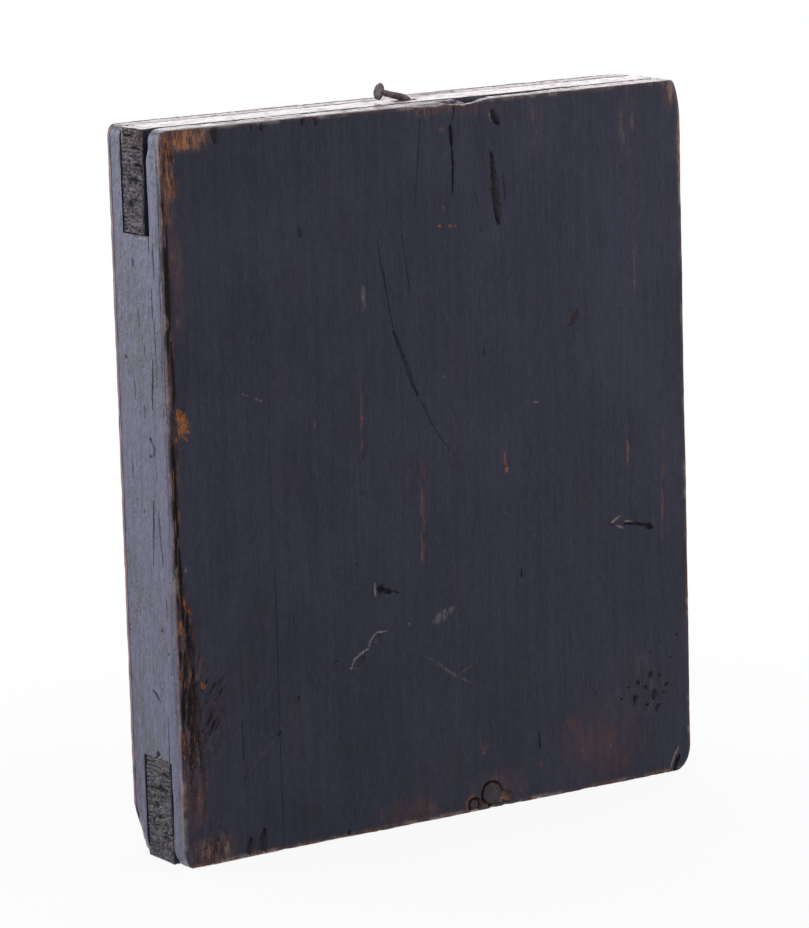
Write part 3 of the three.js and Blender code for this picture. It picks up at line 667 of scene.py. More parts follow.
def face_directions(points, triangles):
    """The outward direction of each triangle."""
    a, b, c = (points[triangles[:, i]] for i in range(3))
    across = np.cross(b - a, c - a)
    return across / np.maximum(np.linalg.norm(across, axis=1), 1e-12)[:, None]


# Boards


def front_of_wood(points):
    """The y of the boards' front, which sinks inside the raised border."""
    x, _, z = points.T
    inset = np.minimum.reduce([x - SLOPE_LOW[0], SLOPE_HIGH[0] - x, z - SLOPE_LOW[2], SLOPE_HIGH[2] - z])
    slope = FIELD_LOW[0] - SLOPE_LOW[0]
    return WOOD_FRONT + (FIELD_LOW[1] - FRONT) * np.clip(inset / slope, 0, 1)


def outline_distance(x, z, share=1.0):
    """The distance to the panel's outline with its four worn corners, or with a share of that wear."""
    across = np.where(x > 0, x - RIGHT, LEFT - x)
    up = np.where(z > HALF_WAY_UP, z - TOP, BOTTOM - z)
    wide, tall = np.zeros(len(x)), np.zeros(len(x))
    for (side, end), (corner_wide, corner_tall) in CORNERS.items():
        here = ((x > 0) == (side > 0)) & ((z > HALF_WAY_UP) == (end > 0))
        wide[here], tall[here] = share * corner_wide, share * corner_tall
    return worn_corner(across, up, wide, tall)


def groove_planes(sizes):
    """Front plane, back plane and floor of each groove, with the end that it opens to."""
    return [
        (TOP_BATTEN[0][1], TOP_BATTEN[1][1] + sizes.top_slack / MM, TOP_BATTEN[0][2], 1),
        (BOTTOM_BATTEN[0][1], BOTTOM_BATTEN[1][1] + sizes.bottom_slack / MM, BOTTOM_BATTEN[1][2], -1),
    ]


def edge_radius(points, sizes):
    """Radius of the long edges: most worn where hands have held the +X side."""
    base = sizes.worn_edge / MM
    held = smooth(points[:, 0], 90, 130) * smooth(points[:, 1], 0, 15)
    held *= smooth(points[:, 2], 40, 120) * smooth(-points[:, 2], -300, -220)
    base *= 0.45 + 0.55 * smooth(points[:, 0], -110, 0)
    return base * (0.5 + 0.75 * noise(points, 28, 61) + 0.7 * held) + 0.35 * noise(points, 4, 62)


def board_shape(points, low, high, sizes):
    """A function for the distance to one board between two planes across x, near the given points."""
    radius = edge_radius(points, sizes)
    break_rough = 1.6 * rough_noise(points, 3.4, 71) - 0.8
    lip = sizes.groove_lip / MM * (0.45 + 1.1 * noise(points, 9, 63))
    lip *= np.where(points[:, 1] < (TOP_BATTEN[0][1] + TOP_BATTEN[1][1]) / 2, 0.35, 1.0)
    shoulder = smooth(points[:, 0], RIGHT - 9, RIGHT - 2) * smooth(points[:, 2], TOP - 14, TOP - 7)
    lip += 2.4 * (points[:, 1] > 8) * shoulder
    ragged = 0.5 * (rough_noise(points, (7, 2, 7), 64) - 0.5)
    shown = (points[:, 0] > 0) * smooth(-points[:, 2], -132, -104)
    crease = 0.15 + shown * (0.4 + noise(points, 40, 65))
    torn = 0.7 * (rough_noise(points, (5, 3, 5), 66) - 0.5)
    wide, deep, tall = BROKEN_CORNER
    break_steep = math.hypot(1 / wide, 1 / deep, 1 / tall)

    def distance(p):
        x, y, z = p.T
        broken = (1 + (x - RIGHT) / wide - (y - FRONT) / deep - z / tall) / break_steep + break_rough
        body = worn_corner(outline_distance(x, z), y - BACK, radius)
        body = worn_corner(body, front_of_wood(p) - y, 0.15)
        body = worn_corner(body, broken, 1.5)
        for groove_front, groove_back, floor, end in groove_planes(sizes):
            inside = np.maximum.reduce([groove_front - y, y - groove_back - ragged, (floor - z) * end])
            body = worn_corner(body, -inside, lip)
        dip = split_dip(x, y)
        body = np.where(dip > 0.05, worn_corner(body, z - TOP + dip + torn * (dip > 0.3), 0.3), body)
        return worn_corner(body, np.maximum(low - x, x - high), crease * sizes.joint_crease / MM)

    return distance


def split_dip(x, y):
    """How far the top of the back cheek has split away."""
    broken = np.interp(x, *SPLIT) * smooth(y, 12.6, 15.6)
    bevel = np.interp(x, *BEVEL) * smooth(y, 17.0, 20.0)
    slit = np.interp(x, *SLIT) * smooth(13.8 - y, -0.7, 0.7)
    hole = np.interp(x, *SPLINTER_HOLE) * smooth(16.3 - y, -0.6, 0.6)
    return np.maximum.reduce([broken, bevel, slit, hole]) * (y > 5)


def crater(points):
    """Depth, wear and painted shade of the chipped hollow round the two nails in the back."""
    x, _, z = points.T
    large = (LARGE_NAIL[0] + LARGE_NAIL[1]) / 2
    small = (SMALL_NAIL[0] + SMALL_NAIL[1]) / 2
    ragged = 1.8 * (rough_noise(points, 2.4, 81) - 0.5)
    fibres = rough_noise(points, (1.0, 1.0, 4.0), 83)
    round_large = np.hypot(x - large[0], z - large[2])
    round_small = np.hypot(x - small[0], z - small[2])
    shelf = smooth(0.9 - np.hypot((x - large[0] + 3.0) / 9.5, (z - 3.6) / 5.2) + ragged * 0.1, 0, 0.3)
    ring = smooth(6.1 - np.hypot(x - large[0] - 0.7, z - large[2] - 0.2) + ragged * 0.4, 0, 1.2)
    pocket = smooth(3.9 - round_small + ragged * 0.4, 0, 1.2)
    depth = np.maximum.reduce([1.9 * ring, 1.5 * pocket, 1.7 * shelf]) + 0.5 * shelf * (0.5 - fibres)
    away = x - large[0]
    # Painted shade: the gap round the large head is darkened, most on its +X and lower side, and so is the
    # pocket round the small head. The shelf is darkened near the bottom edge.
    shaded = np.maximum(smooth(away, -1, 3), smooth(-away - 1.5 * (z - large[2]), 1, 5))
    looks = np.zeros((len(points), 4))
    dark = [ring * (0.15 + 0.6 * shaded), 0.75 * pocket, shelf * smooth(3 - z, 0, 2)]
    looks[:, 1] = np.maximum.reduce(dark)
    low_side = shelf * smooth(7.6 - z, 0, 3) * smooth(fibres, 0.3, 0.6)
    small_rim = smooth(1.2 - np.abs(round_small - 4.2), 0, 1) * (x > small[0])
    looks[:, 0] = 0.35 * np.maximum(low_side, small_rim)
    looks[:, 2] = 0.3 * low_side * fibres
    looks[:, 3] = np.maximum(smooth(9.5 - round_large + ragged, 0, 2.5) * 0.6, shelf)
    return depth, looks


def shorten(step, where, longest):
    """Makes the steps at some of the points no longer than this."""
    step[where] = np.minimum(step[where], longest)


def board_step(points, sizes):
    """How long an edge of a board's mesh may be at each place."""
    x, y, z = points.T
    face, edge, mark = sizes.face_step / MM, sizes.edge_step / MM, sizes.mark_step / MM
    step = np.full(len(points), sizes.hidden_step / MM)
    back, right, left = BACK - y, RIGHT - x, x - LEFT
    top, bottom = TOP - z, z - BOTTOM
    faces = np.sort(np.stack([back, np.minimum(right, left), np.minimum(top, bottom)]), axis=0)
    shown = faces[0] < 0.6
    step[shown] = face
    step[shown & (np.minimum(top, bottom) < 0.6)] = face * 0.8
    step[shown & (right < 0.6)] = face * 0.7
    shorten(step, faces[1] < 7, edge * 2)
    shorten(step, faces[1] < 3.2, edge)
    for groove_front, groove_back, floor, end in groove_planes(sizes):
        mouth = np.minimum(abs(y - groove_front), abs(y - groove_back))
        level = (z - floor) * end
        between = (y > groove_front - 3) & (y < groove_back + 3)
        near = (faces[0] < 5) & (mouth < 2.5) & (level > -3)
        near |= (np.minimum(right, left) < 5) & (abs(level) < 3) & between
        shorten(step, near, edge * 1.2)
    step[(abs(x - RIGHT_JOINT) < 1.2) & (faces[0] < 1)] = edge * 0.75
    step[(abs(x - LEFT_JOINT) < 1.2) & (faces[0] < 1)] = edge * 2
    split = (top < 6) & (y > 5) & (x > SLIT[0][0]) & (x < BEVEL[0][-1])
    shorten(step, split, edge * 0.8)
    for flat, marks, here in (
        (points[:, [0, 2]], BACK_MARKS, back < 2),
        (points[:, [1, 2]], SIDE_MARKS, right < 2),
        (points[:, [0, 1]], TOP_MARKS, top < 2),
    ):
        for _, width, sunk, _, near, gap, _ in marks_near(flat, marks, here):
            fine = max(mark, width / 5.6) if sunk >= 0.3 else max(mark, 0.9)
            shorten(step, near[gap < width * 0.62 + 0.3], fine)
    for middle, half, _, relief, _ in BACK_ZONES:
        share = np.hypot((x - middle[0]) / half[0], (z - middle[1]) / half[1])
        near = (share < 1.15) & (back < 2)
        shorten(step, near, edge * (0.9 if relief > 0.3 else 2))
    nails = np.hypot(x - LARGE_NAIL[0][0] - 5, z - 5)
    step[(nails < 12) & (back < 3)] = mark
    return step


def make_board(name, low, high, sizes, materials):
    """One board from its block of cells: refined, settled on its worn shape, then marked."""
    grooves = groove_planes(sizes)
    ys = np.array(sorted({WOOD_FRONT, BACK, *(g[0] for g in grooves), *(g[1] for g in grooves)}))
    zs = steps_between(BOTTOM, grooves[1][2], grooves[0][2], TOP, step=sizes.hidden_step / MM)
    xs = steps_between(max(low, LEFT), min(high, RIGHT), step=sizes.hidden_step / MM)
    solid = np.ones((len(xs) - 1, len(ys) - 1, len(zs) - 1), bool)
    mid_y, mid_z = (ys[1:] + ys[:-1]) / 2, (zs[1:] + zs[:-1]) / 2
    for groove_front, groove_back, floor, end in grooves:
        in_y = (mid_y > groove_front) & (mid_y < groove_back)
        in_z = (mid_z - floor) * end > 0
        solid[:, in_y[:, None] & in_z[None, :]] = False
    points, triangles = skin_of_cells(xs, ys, zs, solid)
    points, triangles = refine(points, triangles, lambda p: board_step(p, sizes))
    joints = (points[:, 0] == low) | (points[:, 0] == high)
    points, outward = settle(points, board_shape(points, low, high, sizes))
    depth, looks = wood_wear(points, outward, sizes)
    moved = points - outward * depth[:, None]
    moved[joints, 0] = points[joints, 0]
    facing = face_directions(points, triangles)
    kind = np.zeros(len(triangles), int)
    middle_x = points[triangles].mean(axis=1)[:, 0]
    outside = np.minimum(RIGHT - middle_x, middle_x - LEFT) < 4
    kind[(np.abs(facing[:, 0]) > 0.72) & outside] = 1
    kind[np.abs(facing[:, 2]) > 0.72] = 2
    make_piece(f"{name}_wood", [name], "varnished_wood", moved, triangles, materials, kind, looks)


def wood_wear(points, outward, sizes):
    """Depth and looks of everything that time has done to a board's surface."""
    x, y, z = points.T
    looks = np.zeros((len(points), 4))
    depth = sizes.sway / MM * rough_noise(points, (34, 30, 60), 11, 2)
    depth *= 0.4 + 0.6 * smooth(x, LEFT, LEFT + 30)
    furrows = rough_noise(points, (1.9, 1.9, 46), 13)
    depth += sizes.grain_relief / MM * 2 * furrows
    on_back = smooth(outward[:, 1], 0.15, 0.6)
    on_right = smooth(outward[:, 0], 0.3, 0.8)
    on_top = smooth(outward[:, 2], 0.3, 0.8)
    on_end = smooth(np.abs(outward[:, 2]), 0.3, 0.8)
    sunk = np.zeros(len(points))
    side = on_right * (x > RIGHT - SIDE_SKIN)
    apply_marks(points[:, [0, 2]], BACK_MARKS, on_back * (y > 10), sunk, looks)
    apply_marks(points[:, [1, 2]], SIDE_MARKS, side, sunk, looks)
    apply_marks(points[:, [0, 1]], TOP_MARKS, on_top * (z > TOP - SIDE_SKIN), sunk, looks)
    near_back = smooth(outward[:, 1] + 0.4 * np.abs(outward[:, 0]), 0.15, 0.5)
    near_back = smooth(y, BACK - 4.5, BACK - 1.2) * near_back
    zone_depth = np.zeros(len(points))
    apply_zones(points[:, [0, 2]], BACK_ZONES, near_back, zone_depth, looks)
    apply_zones(points[:, [1, 2]], SIDE_ZONES, side, zone_depth, looks)
    bowl, bowl_looks = crater(points)
    facing = on_back * (y > BACK - BACK_SKIN)
    sunk = np.maximum(sunk, bowl * facing)
    rim = np.maximum(facing, (z < 2.5) * (y > BACK - BACK_SKIN))
    looks = np.maximum(looks, bowl_looks * rim[:, None])
    depth += sunk + zone_depth
    depth += on_end * 0.32 * smooth(rough_noise(points, (3.5, 1.1, 9), 17), 0.5, 0.8)
    looks = np.maximum(looks, edge_wear(points))
    dip = split_dip(x, y) * (z > TOP - 7) * on_top
    torn = smooth(rough_noise(points, (9, 1.2, 3), 19), 0.35, 0.6)
    looks[:, 0] = np.maximum(looks[:, 0], 0.35 * torn * smooth(dip, 0.4, 1.6))
    # Painted shade: the split is darkened where it dips deepest
    looks[:, 1] = np.maximum(looks[:, 1], (1 - 0.6 * torn) * smooth(dip, 2.1, 3.4))
    looks[:, 3] = np.maximum(looks[:, 3], 0.8 * smooth(dip, 0.2, 0.8))
    depth += 0.5 * (1 - torn) * smooth(dip, 0.2, 1.2)
    return depth, looks


def edge_wear(points):
    """Bare wood and dust along the panel's long edges, in broken patches."""
    x, y, z = points.T
    gaps = np.sort(np.stack([BACK - y, np.minimum(RIGHT - x, x - LEFT), np.minimum(TOP - z, z)]), axis=0)
    close = smooth(2.6 - gaps[0] - gaps[1], 0, 2.2) * (y > 0)
    patch = rough_noise(points, (9, 9, 14), 91)
    looks = np.zeros((len(points), 4))
    bottom = smooth(3.0 - z, 0, 2) * smooth(y, BACK - 3, BACK - 1)
    share = (0.4 - 0.3 * smooth(z, TOP - 8, TOP - 4)) * (1 - 0.6 * smooth(-x, 60, 120))
    bare_bottom = bottom * smooth(patch, 0.4, 0.7) * 0.25
    looks[:, 0] = np.maximum(close * smooth(patch, 0.46, 0.7) * share, bare_bottom)
    looks[:, 2] = np.maximum(close, bottom) * smooth(rough_noise(points, 6, 95), 0.45, 0.7) * 0.4
    looks[:, 3] = np.maximum(close, bottom) * 0.8
    return looks


# Battens


def batten_shape(points, batten, front_slant, back_slant):
    """A function for the distance to a batten. A slant says how far a face has drawn in at the mouth of
    the groove and at its floor."""
    low, high = batten
    top = high[2] > HALF_WAY_UP
    sunk = 0.25 + 0.4 * noise(points, (1, 7, 11), 23)
    sunk *= 1 - 0.7 * top * smooth(RIGHT - 4 - np.abs(points[:, 0]), 0, 2)
    radius = (0.5 + 0.7 * noise(points, 5, 21)) * np.where(points[:, 1] < low[1] + 3, 0.5, 1.0)
    wander = 0.4 * (rough_noise(points, (40, 40, 9), 22, 2) - 0.5)

    def distance(p):
        x, y, z = p.T
        inward = (high[2] - z if top else z - low[2]) / (high[2] - low[2])
        front = low[1] + front_slant[0] + (front_slant[1] - front_slant[0]) * inward - y + wander * inward
        back = y - high[1] + back_slant[0] + (back_slant[1] - back_slant[0]) * inward + wander
        floor = low[2] - z if top else z - high[2]
        body = worn_corner(outline_distance(x, z, 0.25) + sunk, np.maximum(front, back), radius)
        return worn_corner(body, floor + 0.2, 0.5)

    return distance


def make_batten(name, batten, front_slant, back_slant, sizes, materials):
    """A batten: pitted end grain at both ends, long grain along its faces."""
    low, high = batten
    step = sizes.hidden_step / MM
    xs = steps_between(low[0], high[0], step=step)
    ys = steps_between(low[1], high[1], step=step / 2)
    zs = steps_between(low[2], high[2], step=step / 2)
    points, triangles = skin_of_cells(xs, ys, zs, np.ones((len(xs) - 1, len(ys) - 1, len(zs) - 1), bool))
    open_z = high[2] if high[2] > HALF_WAY_UP else low[2]

    def longest(p):
        end = np.minimum(RIGHT - p[:, 0], p[:, 0] - LEFT)
        step = np.full(len(p), sizes.hidden_step / MM)
        step[abs(p[:, 2] - open_z) < 0.5] = sizes.face_step / MM * 0.75
        step[end < 9] = sizes.edge_step / MM * 1.6
        step[end < 2.5] = sizes.mark_step / MM * 1.35
        nail = np.hypot(p[:, 0] - TOP_NAIL[0][0] - 2, p[:, 1] - TOP_NAIL_Y)
        step[(nail < 6) & (abs(p[:, 2] - open_z) < 1) & (open_z > HALF_WAY_UP)] = sizes.mark_step / MM
        return step

    points, triangles = refine(points, triangles, longest)
    points, outward = settle(points, batten_shape(points, batten, front_slant, back_slant))
    end = smooth(np.abs(outward[:, 0]), 0.35, 0.8)
    rows = rough_noise(points, (3.0, 4.2, 0.85), 25)
    pores = rough_noise(points, (1.0, 0.8, 0.6), 27)
    ridges = 0.5 + 0.5 * np.sin(points[:, 2] * 3.7 + 5 * noise(points, (3, 3, 5), 26))
    ridged = 0.16 * smooth(noise(points, 9, 30), 0.4, 0.6)
    pits = smooth(rows * (0.5 - ridged / 2) + pores * (0.5 - ridged / 2) + ridges * ridged, 0.4, 0.7)
    hollows = smooth(rough_noise(points, (3, 5.0, 2.4), 37), 0.6, 0.72)
    depth = end * (0.9 * pits + 0.4 * pores + 0.7 * hollows)
    along = 1 - end
    depth += along * 0.35 * rough_noise(points, (40, 2.2, 2.2), 28)
    looks = np.zeros((len(points), 4))
    # The end grain is darkened in its pits and hollows and paled on some high places: grime and dust, with
    # painted shade and highlight
    looks[:, 1] = end * np.maximum(smooth(pits, 0.2, 1.0) * 0.55, hollows * 0.9)
    looks[:, 2] = end * smooth(1 - pits, 0.75, 1.0) * smooth(noise(points, 1.6, 29), 0.62, 0.9) * 0.3
    if open_z > HALF_WAY_UP:
        x, y, z = points.T
        # Painted highlight: a pale line, through the dust share, along the front edge of the top batten's +X
        # end near the top
        glint = smooth(x, RIGHT - 2, RIGHT - 1) * smooth(z, TOP - 9, TOP - 6)
        glint *= smooth(low[1] + 1.6 - y, 0, 0.8)
        looks[:, 2] = np.maximum(looks[:, 2], glint)
        looks[:, 0] = end * 0.3 * smooth(z, TOP - 16, TOP - 6) * smooth(pores, 0.4, 0.6)
        slot = [(TOP_NAIL[0][0] + 0.6, TOP_NAIL_Y), (TOP_NAIL[0][0] + 8.2, TOP_NAIL_Y)]
        slot = off_line(points[:, :2], slot)[0]
        hole = smooth(2.1 - slot + 0.5 * noise(points, 1.2, 24), 0, 0.7) * smooth(outward[:, 2], 0.4, 0.8)
        depth += 3.0 * hole
        # Painted shade: the hole round the hanging nail is darkened
        looks[:, 1] = np.maximum(looks[:, 1], hole)
    facing = face_directions(points, triangles)
    kind = np.where(np.abs(facing[:, 0]) > 0.6, 0, 1)
    kind[np.abs(facing[:, 2]) > 0.75] = 2
    moved = points - outward * depth[:, None]
    make_piece(f"{name}_wood", [name], "batten_wood", moved, triangles, materials, kind, looks, crease=50)


# Nails


def ring_triangles(rings, sides):
    """The faces of a closed form: a first point, rings of points one after another, and a last point."""
    last, triangles = rings * sides + 1, []
    for i in range(sides):
        j = (i + 1) % sides
        triangles.append((0, 1 + j, 1 + i))
        for ring in range(rings - 1):
            a, b = 1 + ring * sides + i, 1 + ring * sides + j
            triangles += [(a, b, b + sides), (a, b + sides, a + sides)]
        triangles.append((last, last - sides + i, last - sides + j))
    return np.array(triangles)


def turned(profile, sides):
    """A closed form turned about Z from a profile of radius and height that starts and ends on the axis."""
    angles = 2 * np.pi * np.arange(sides) / sides
    points = [(r * math.cos(a), r * math.sin(a), h) for r, h in profile[1:-1] for a in angles]
    points = [(0, 0, profile[0][1])] + points + [(0, 0, profile[-1][1])]
    return np.array(points, float), ring_triangles(len(profile) - 2, sides)


def swept(path, radii, sides, square):
    """A closed rod along a path of points, with a radius at each. Square runs from 0, round, to 1."""
    path = np.asarray(path, float)
    ahead = np.gradient(path, axis=0)
    ahead /= np.linalg.norm(ahead, axis=1)[:, None]
    side = np.cross(ahead, (0, 1, 0))
    weak = np.linalg.norm(side, axis=1) < 0.3
    side[weak] = np.cross(ahead[weak], (1, 0, 0))
    side /= np.linalg.norm(side, axis=1)[:, None]
    up = np.cross(side, ahead)
    angles = 2 * np.pi * (np.arange(sides) + 0.5) / sides
    swell = 1 + square * 0.36 * np.abs(np.sin(2 * angles)) ** 3
    ring = np.stack([np.cos(angles) * swell, np.sin(angles) * swell], axis=1)
    rows = [p + r * (ring[:, :1] * s + ring[:, 1:] * u) for p, r, s, u in zip(path, radii, side, up)]
    points = np.concatenate([path[:1]] + rows + [path[-1:]])
    return points, ring_triangles(len(path), sides)


def outward_turned(points, triangles):
    """The triangles, turned over as one if the form they close is inside out."""
    a, b, c = (points[triangles[:, i]] for i in range(3))
    volume = np.einsum("ij,ij->i", a, np.cross(b, c)).sum()
    return triangles if volume > 0 else triangles[:, ::-1]


def hammered_head(radius, thickness, dish, seed):
    """A forged nail head: a low crown with flats from the hammer and an uneven rim, on Z."""
    profile = [(0, 0), (radius * 0.5, 0), (radius * 0.93, 0), (radius, thickness * 0.3),
               (radius * 0.99, thickness * 0.62), (radius * 0.92, thickness * 0.86)]
    profile += [(radius * r, thickness * (1 - dish * (1 - r) ** 2)) for r in (0.8, 0.6, 0.4, 0.2)]
    profile += [(0, thickness * (1 - dish))]
    points, triangles = turned(profile, 40)
    around = np.arctan2(points[:, 1], points[:, 0])
    wobble = np.stack([2.2 * np.cos(around), 2.2 * np.sin(around), np.full(len(points), seed)], 1)
    points[:, :2] *= (1 - 0.09 * noise(wobble, 1, seed))[:, None]
    top = points[:, 2] > thickness * 0.3
    points[top, 2] -= thickness * 0.3 * rough_noise(points[top], radius * 0.5, seed + 3)
    return points, triangles


def joined(*parts):
    """Several point and triangle sets as one."""
    points, triangles, count = [], [], 0
    for part_points, part_triangles in parts:
        points.append(part_points)
        triangles.append(outward_turned(part_points, part_triangles) + count)
        count += len(part_points)
    return np.concatenate(points), np.concatenate(triangles)


def make_top_nail(material):
    """The hanging nail: upright in the batten, bent over towards +X, with its head at the free end."""
    low, high = TOP_NAIL
    thickness, bend, reach, lean = 1.3, 3.4, 15.7, math.radians(15.5)
    away = np.array([math.cos(lean), 0, math.sin(lean)])
    radius = (high[1] - low[1]) / 2
    elbow = np.array([low[0] + 1.6, TOP_NAIL_Y, TOP])
    start = elbow + (0, 0, low[2] - TOP + 0.4)
    curve = [(1 - t) ** 2 * (elbow - (0, 0, bend)) + 2 * t * (1 - t) * elbow + t * t * (elbow + away * bend)
             for t in np.linspace(0, 1, 9)]
    path = [start, start + (0, 0, 12), start + (0, 0, 24)] + curve
    path += [elbow + away * share * reach for share in (0.32, 0.42, 0.53, 0.64, 0.76, 0.88, 1.0)]
    radii = [0.6, 1.1, 1.4] + [1.45] * 9 + [1.5, 1.48, 1.42, 1.4, 1.36, 1.38, 1.5]
    shank = swept(path, radii, 12, square=0.25)
    shank[0][:] += 0.26 * (noise(shank[0], 1.6, 5)[:, None] - 0.5) * (0, 1, 1)
    points, triangles = hammered_head(radius * 0.98, thickness, 0.1, 7)
    turn = np.array(Vector((0, 0, 1)).rotation_difference(Vector(away)).to_matrix())
    points = points @ turn.T + elbow + away * (reach - 0.05)
    points, triangles = joined(shank, (points, triangles))
    points = np.clip(points, low, high)
    make_piece("top_nail_look", ["top_nail"], "nail_iron", points, triangles, [material], crease=60)


def make_back_nail(name, box, head_radius, head_thickness, shank, material, seed):
    """A nail in the back: a square tapering shank under a round hammered head."""
    low, high = box
    middle = (low + high) / 2
    head, head_triangles = hammered_head(head_radius, head_thickness, -0.12, seed)
    head = np.stack([head[:, 0], head[:, 2], -head[:, 1]], axis=1)
    head += (middle[0], high[1] - head_thickness * 1.12, middle[2])
    reach = np.linspace(high[1] - head_thickness, low[1], 6)
    path = np.stack([np.full(6, middle[0]), reach, np.full(6, middle[2])], axis=1)
    rod = swept(path, np.linspace(shank / 2, shank / 6, 6), 12, square=0.9)
    points, triangles = joined(rod, (head, head_triangles))
    points = np.clip(points, low, high)
    make_piece(f"{name}_look", [name], "nail_iron", points, triangles, [material], crease=60)


# Layers on the front. Each is a plate of cells one layer deep that follows the recess.


def in_box(x, z, low, high):
    """Whether flat points lie in a box as seen from the front."""
    return (x > low[0]) & (x < high[0]) & (z > low[2]) & (z < high[2])


def layer_edge(x, z, depth):
    """How far flat points lie outside a front layer at this depth behind the front: its edge follows
    the outline, the worn front edge and the broken corner."""
    radius = 0.5
    inset = radius - np.sqrt(np.maximum(radius**2 - (radius - np.minimum(depth, radius)) ** 2, 0))
    wide, deep, tall = BROKEN_CORNER
    broken = (1 + (x - RIGHT) / wide - depth / deep - z / tall) / math.hypot(1 / wide, 1 / tall)
    return np.maximum(outline_distance(x, z) + inset, broken)


def make_layer(name, slot, material, step, covers, wear, seed):
    """One layer of the front: the cells that it covers, drawn to the worn outline, and worn down."""
    stops_x = sorted({LEFT, SLOPE_LOW[0], FIELD_LOW[0], FIELD_HIGH[0], SLOPE_HIGH[0], RIGHT,
                      LEFT + EDGE_LINE, RIGHT - EDGE_LINE})
    stops_z = sorted({BOTTOM, SLOPE_LOW[2], MEADOW_LOW[2], MEADOW_HIGH[2], FIELD_HIGH[2], SLOPE_HIGH[2], TOP,
                      BOTTOM + EDGE_LINE, TOP - EDGE_LINE})
    xs, zs = steps_between(*stops_x, step=step), steps_between(*stops_z, step=step)
    mid_x, mid_z = np.meshgrid((xs[1:] + xs[:-1]) / 2, (zs[1:] + zs[:-1]) / 2, indexing="ij")
    starts, ends = LAYER_DEPTHS.get(name, PAINT)
    inside = layer_edge(mid_x.ravel(), mid_z.ravel(), starts).reshape(mid_x.shape) < 0
    solid = (inside & covers(mid_x, mid_z))[:, None, :]
    points, triangles = skin_of_cells(xs, np.array([0.0, 1.0]), zs, solid)
    back = points[:, 1] > 0.5
    facing = face_directions(points, triangles)
    walls = np.unique(triangles[np.abs(facing[:, 1]) < 0.5])
    x, z = points[:, 0], points[:, 2]
    rim = np.zeros(len(points), bool)
    deep = np.where(back, ends, starts)
    rim[walls] = layer_edge(x, z, deep)[walls] > -1.5 * step
    thick = ends - starts
    chipped = 0.22 * smooth(rough_noise(points, (4, 1e3, 5), seed + 9), 0.35, 0.8)
    for _ in range(4):
        x, z = points[:, 0], points[:, 2]
        gap = layer_edge(x, z, deep) + chipped + 0.04
        across = (layer_edge(x + 0.01, z, deep) - layer_edge(x - 0.01, z, deep)) / 0.02
        up = (layer_edge(x, z + 0.01, deep) - layer_edge(x, z - 0.01, deep)) / 0.02
        steep = np.maximum(across**2 + up**2, 1e-6)
        move = np.where(rim | (gap > 0), gap, 0)
        points[:, 0] -= move * across / steep
        points[:, 2] -= move * up / steep
    plane = front_of_wood(points) - WOOD_FRONT + FRONT + starts
    points[:, 1] = plane + np.where(back, thick, 0)
    rim_gap = -outline_distance(points[:, 0], points[:, 2])
    falls = smooth(2.0 - rim_gap, 0, 2.0) * 0.3
    sunk = wear * rough_noise(points, (16, 1e3, 22), seed)
    sunk = sunk + falls * rough_noise(points, (5, 1e3, 8), seed + 3)
    points[~back, 1] += np.minimum(sunk, thick * 0.7)[~back]
    make_piece(f"{name}_look", [name], slot, points, triangles, [material], crease=35)


def make_emblem(name, slot, material, seed):
    """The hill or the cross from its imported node, with an uneven painted surface."""
    points, triangles = node_shell(name)
    points, triangles = refine(points, triangles, lambda p: np.full(len(p), 2.0))
    low, high = node_box(name)
    front = points[:, 1] < (low[1] + high[1]) / 2
    points[front, 1] += 0.12 * rough_noise(points, (7, 1e3, 7), seed)[front]
    make_piece(f"{name}_look", [name], slot, points, triangles, [material], crease=35)


# Repeated pieces, made by trees of geometry nodes


class Nodes:
    """Lays out the nodes of one tree."""

    def __init__(self, tree):
        self.tree = tree
        tree.nodes.clear()

    def add(self, kind, **options):
        """A new node with its settings."""
        node = self.tree.nodes.new(kind)
        for key, value in options.items():
            setattr(node, key, value)
        return node

    def put(self, socket, value):
        """Joins a socket to another, or sets it."""
        if isinstance(value, bpy.types.NodeSocket):
            self.tree.links.new(value, socket)
        elif socket.type == "RGBA":
            socket.default_value = (*value[:3], 1)
        else:
            socket.default_value = value

    def link(self, node, **sockets):
        """Fills a node's inputs by name, with underscores for blanks, and gives its first output."""
        for key, value in sockets.items():
            self.put(node.inputs[key.replace("_", " ")], value)
        return node.outputs[0] if node.outputs else None

    def fill(self, node, *values):
        """Fills a node's first inputs in their order, and gives its first output."""
        for socket, value in zip(node.inputs, values):
            self.put(socket, value)
        return node.outputs[0]

    def math(self, operation, *values):
        """A sum or comparison of values or sockets."""
        return self.fill(self.add("ShaderNodeMath", operation=operation), *values)

    def times(self, a, b):
        return self.math("MULTIPLY", a, b)

    def most(self, a, b):
        return self.math("MAXIMUM", a, b)

    def seen_plainly(self):
        """1 for rays from the camera, from mirrors and through glass, 0 for others."""
        rays = self.add("ShaderNodeLightPath").outputs
        seen = self.most(rays["Is Camera Ray"], rays["Is Glossy Ray"])
        return self.most(seen, rays["Is Transmission Ray"])


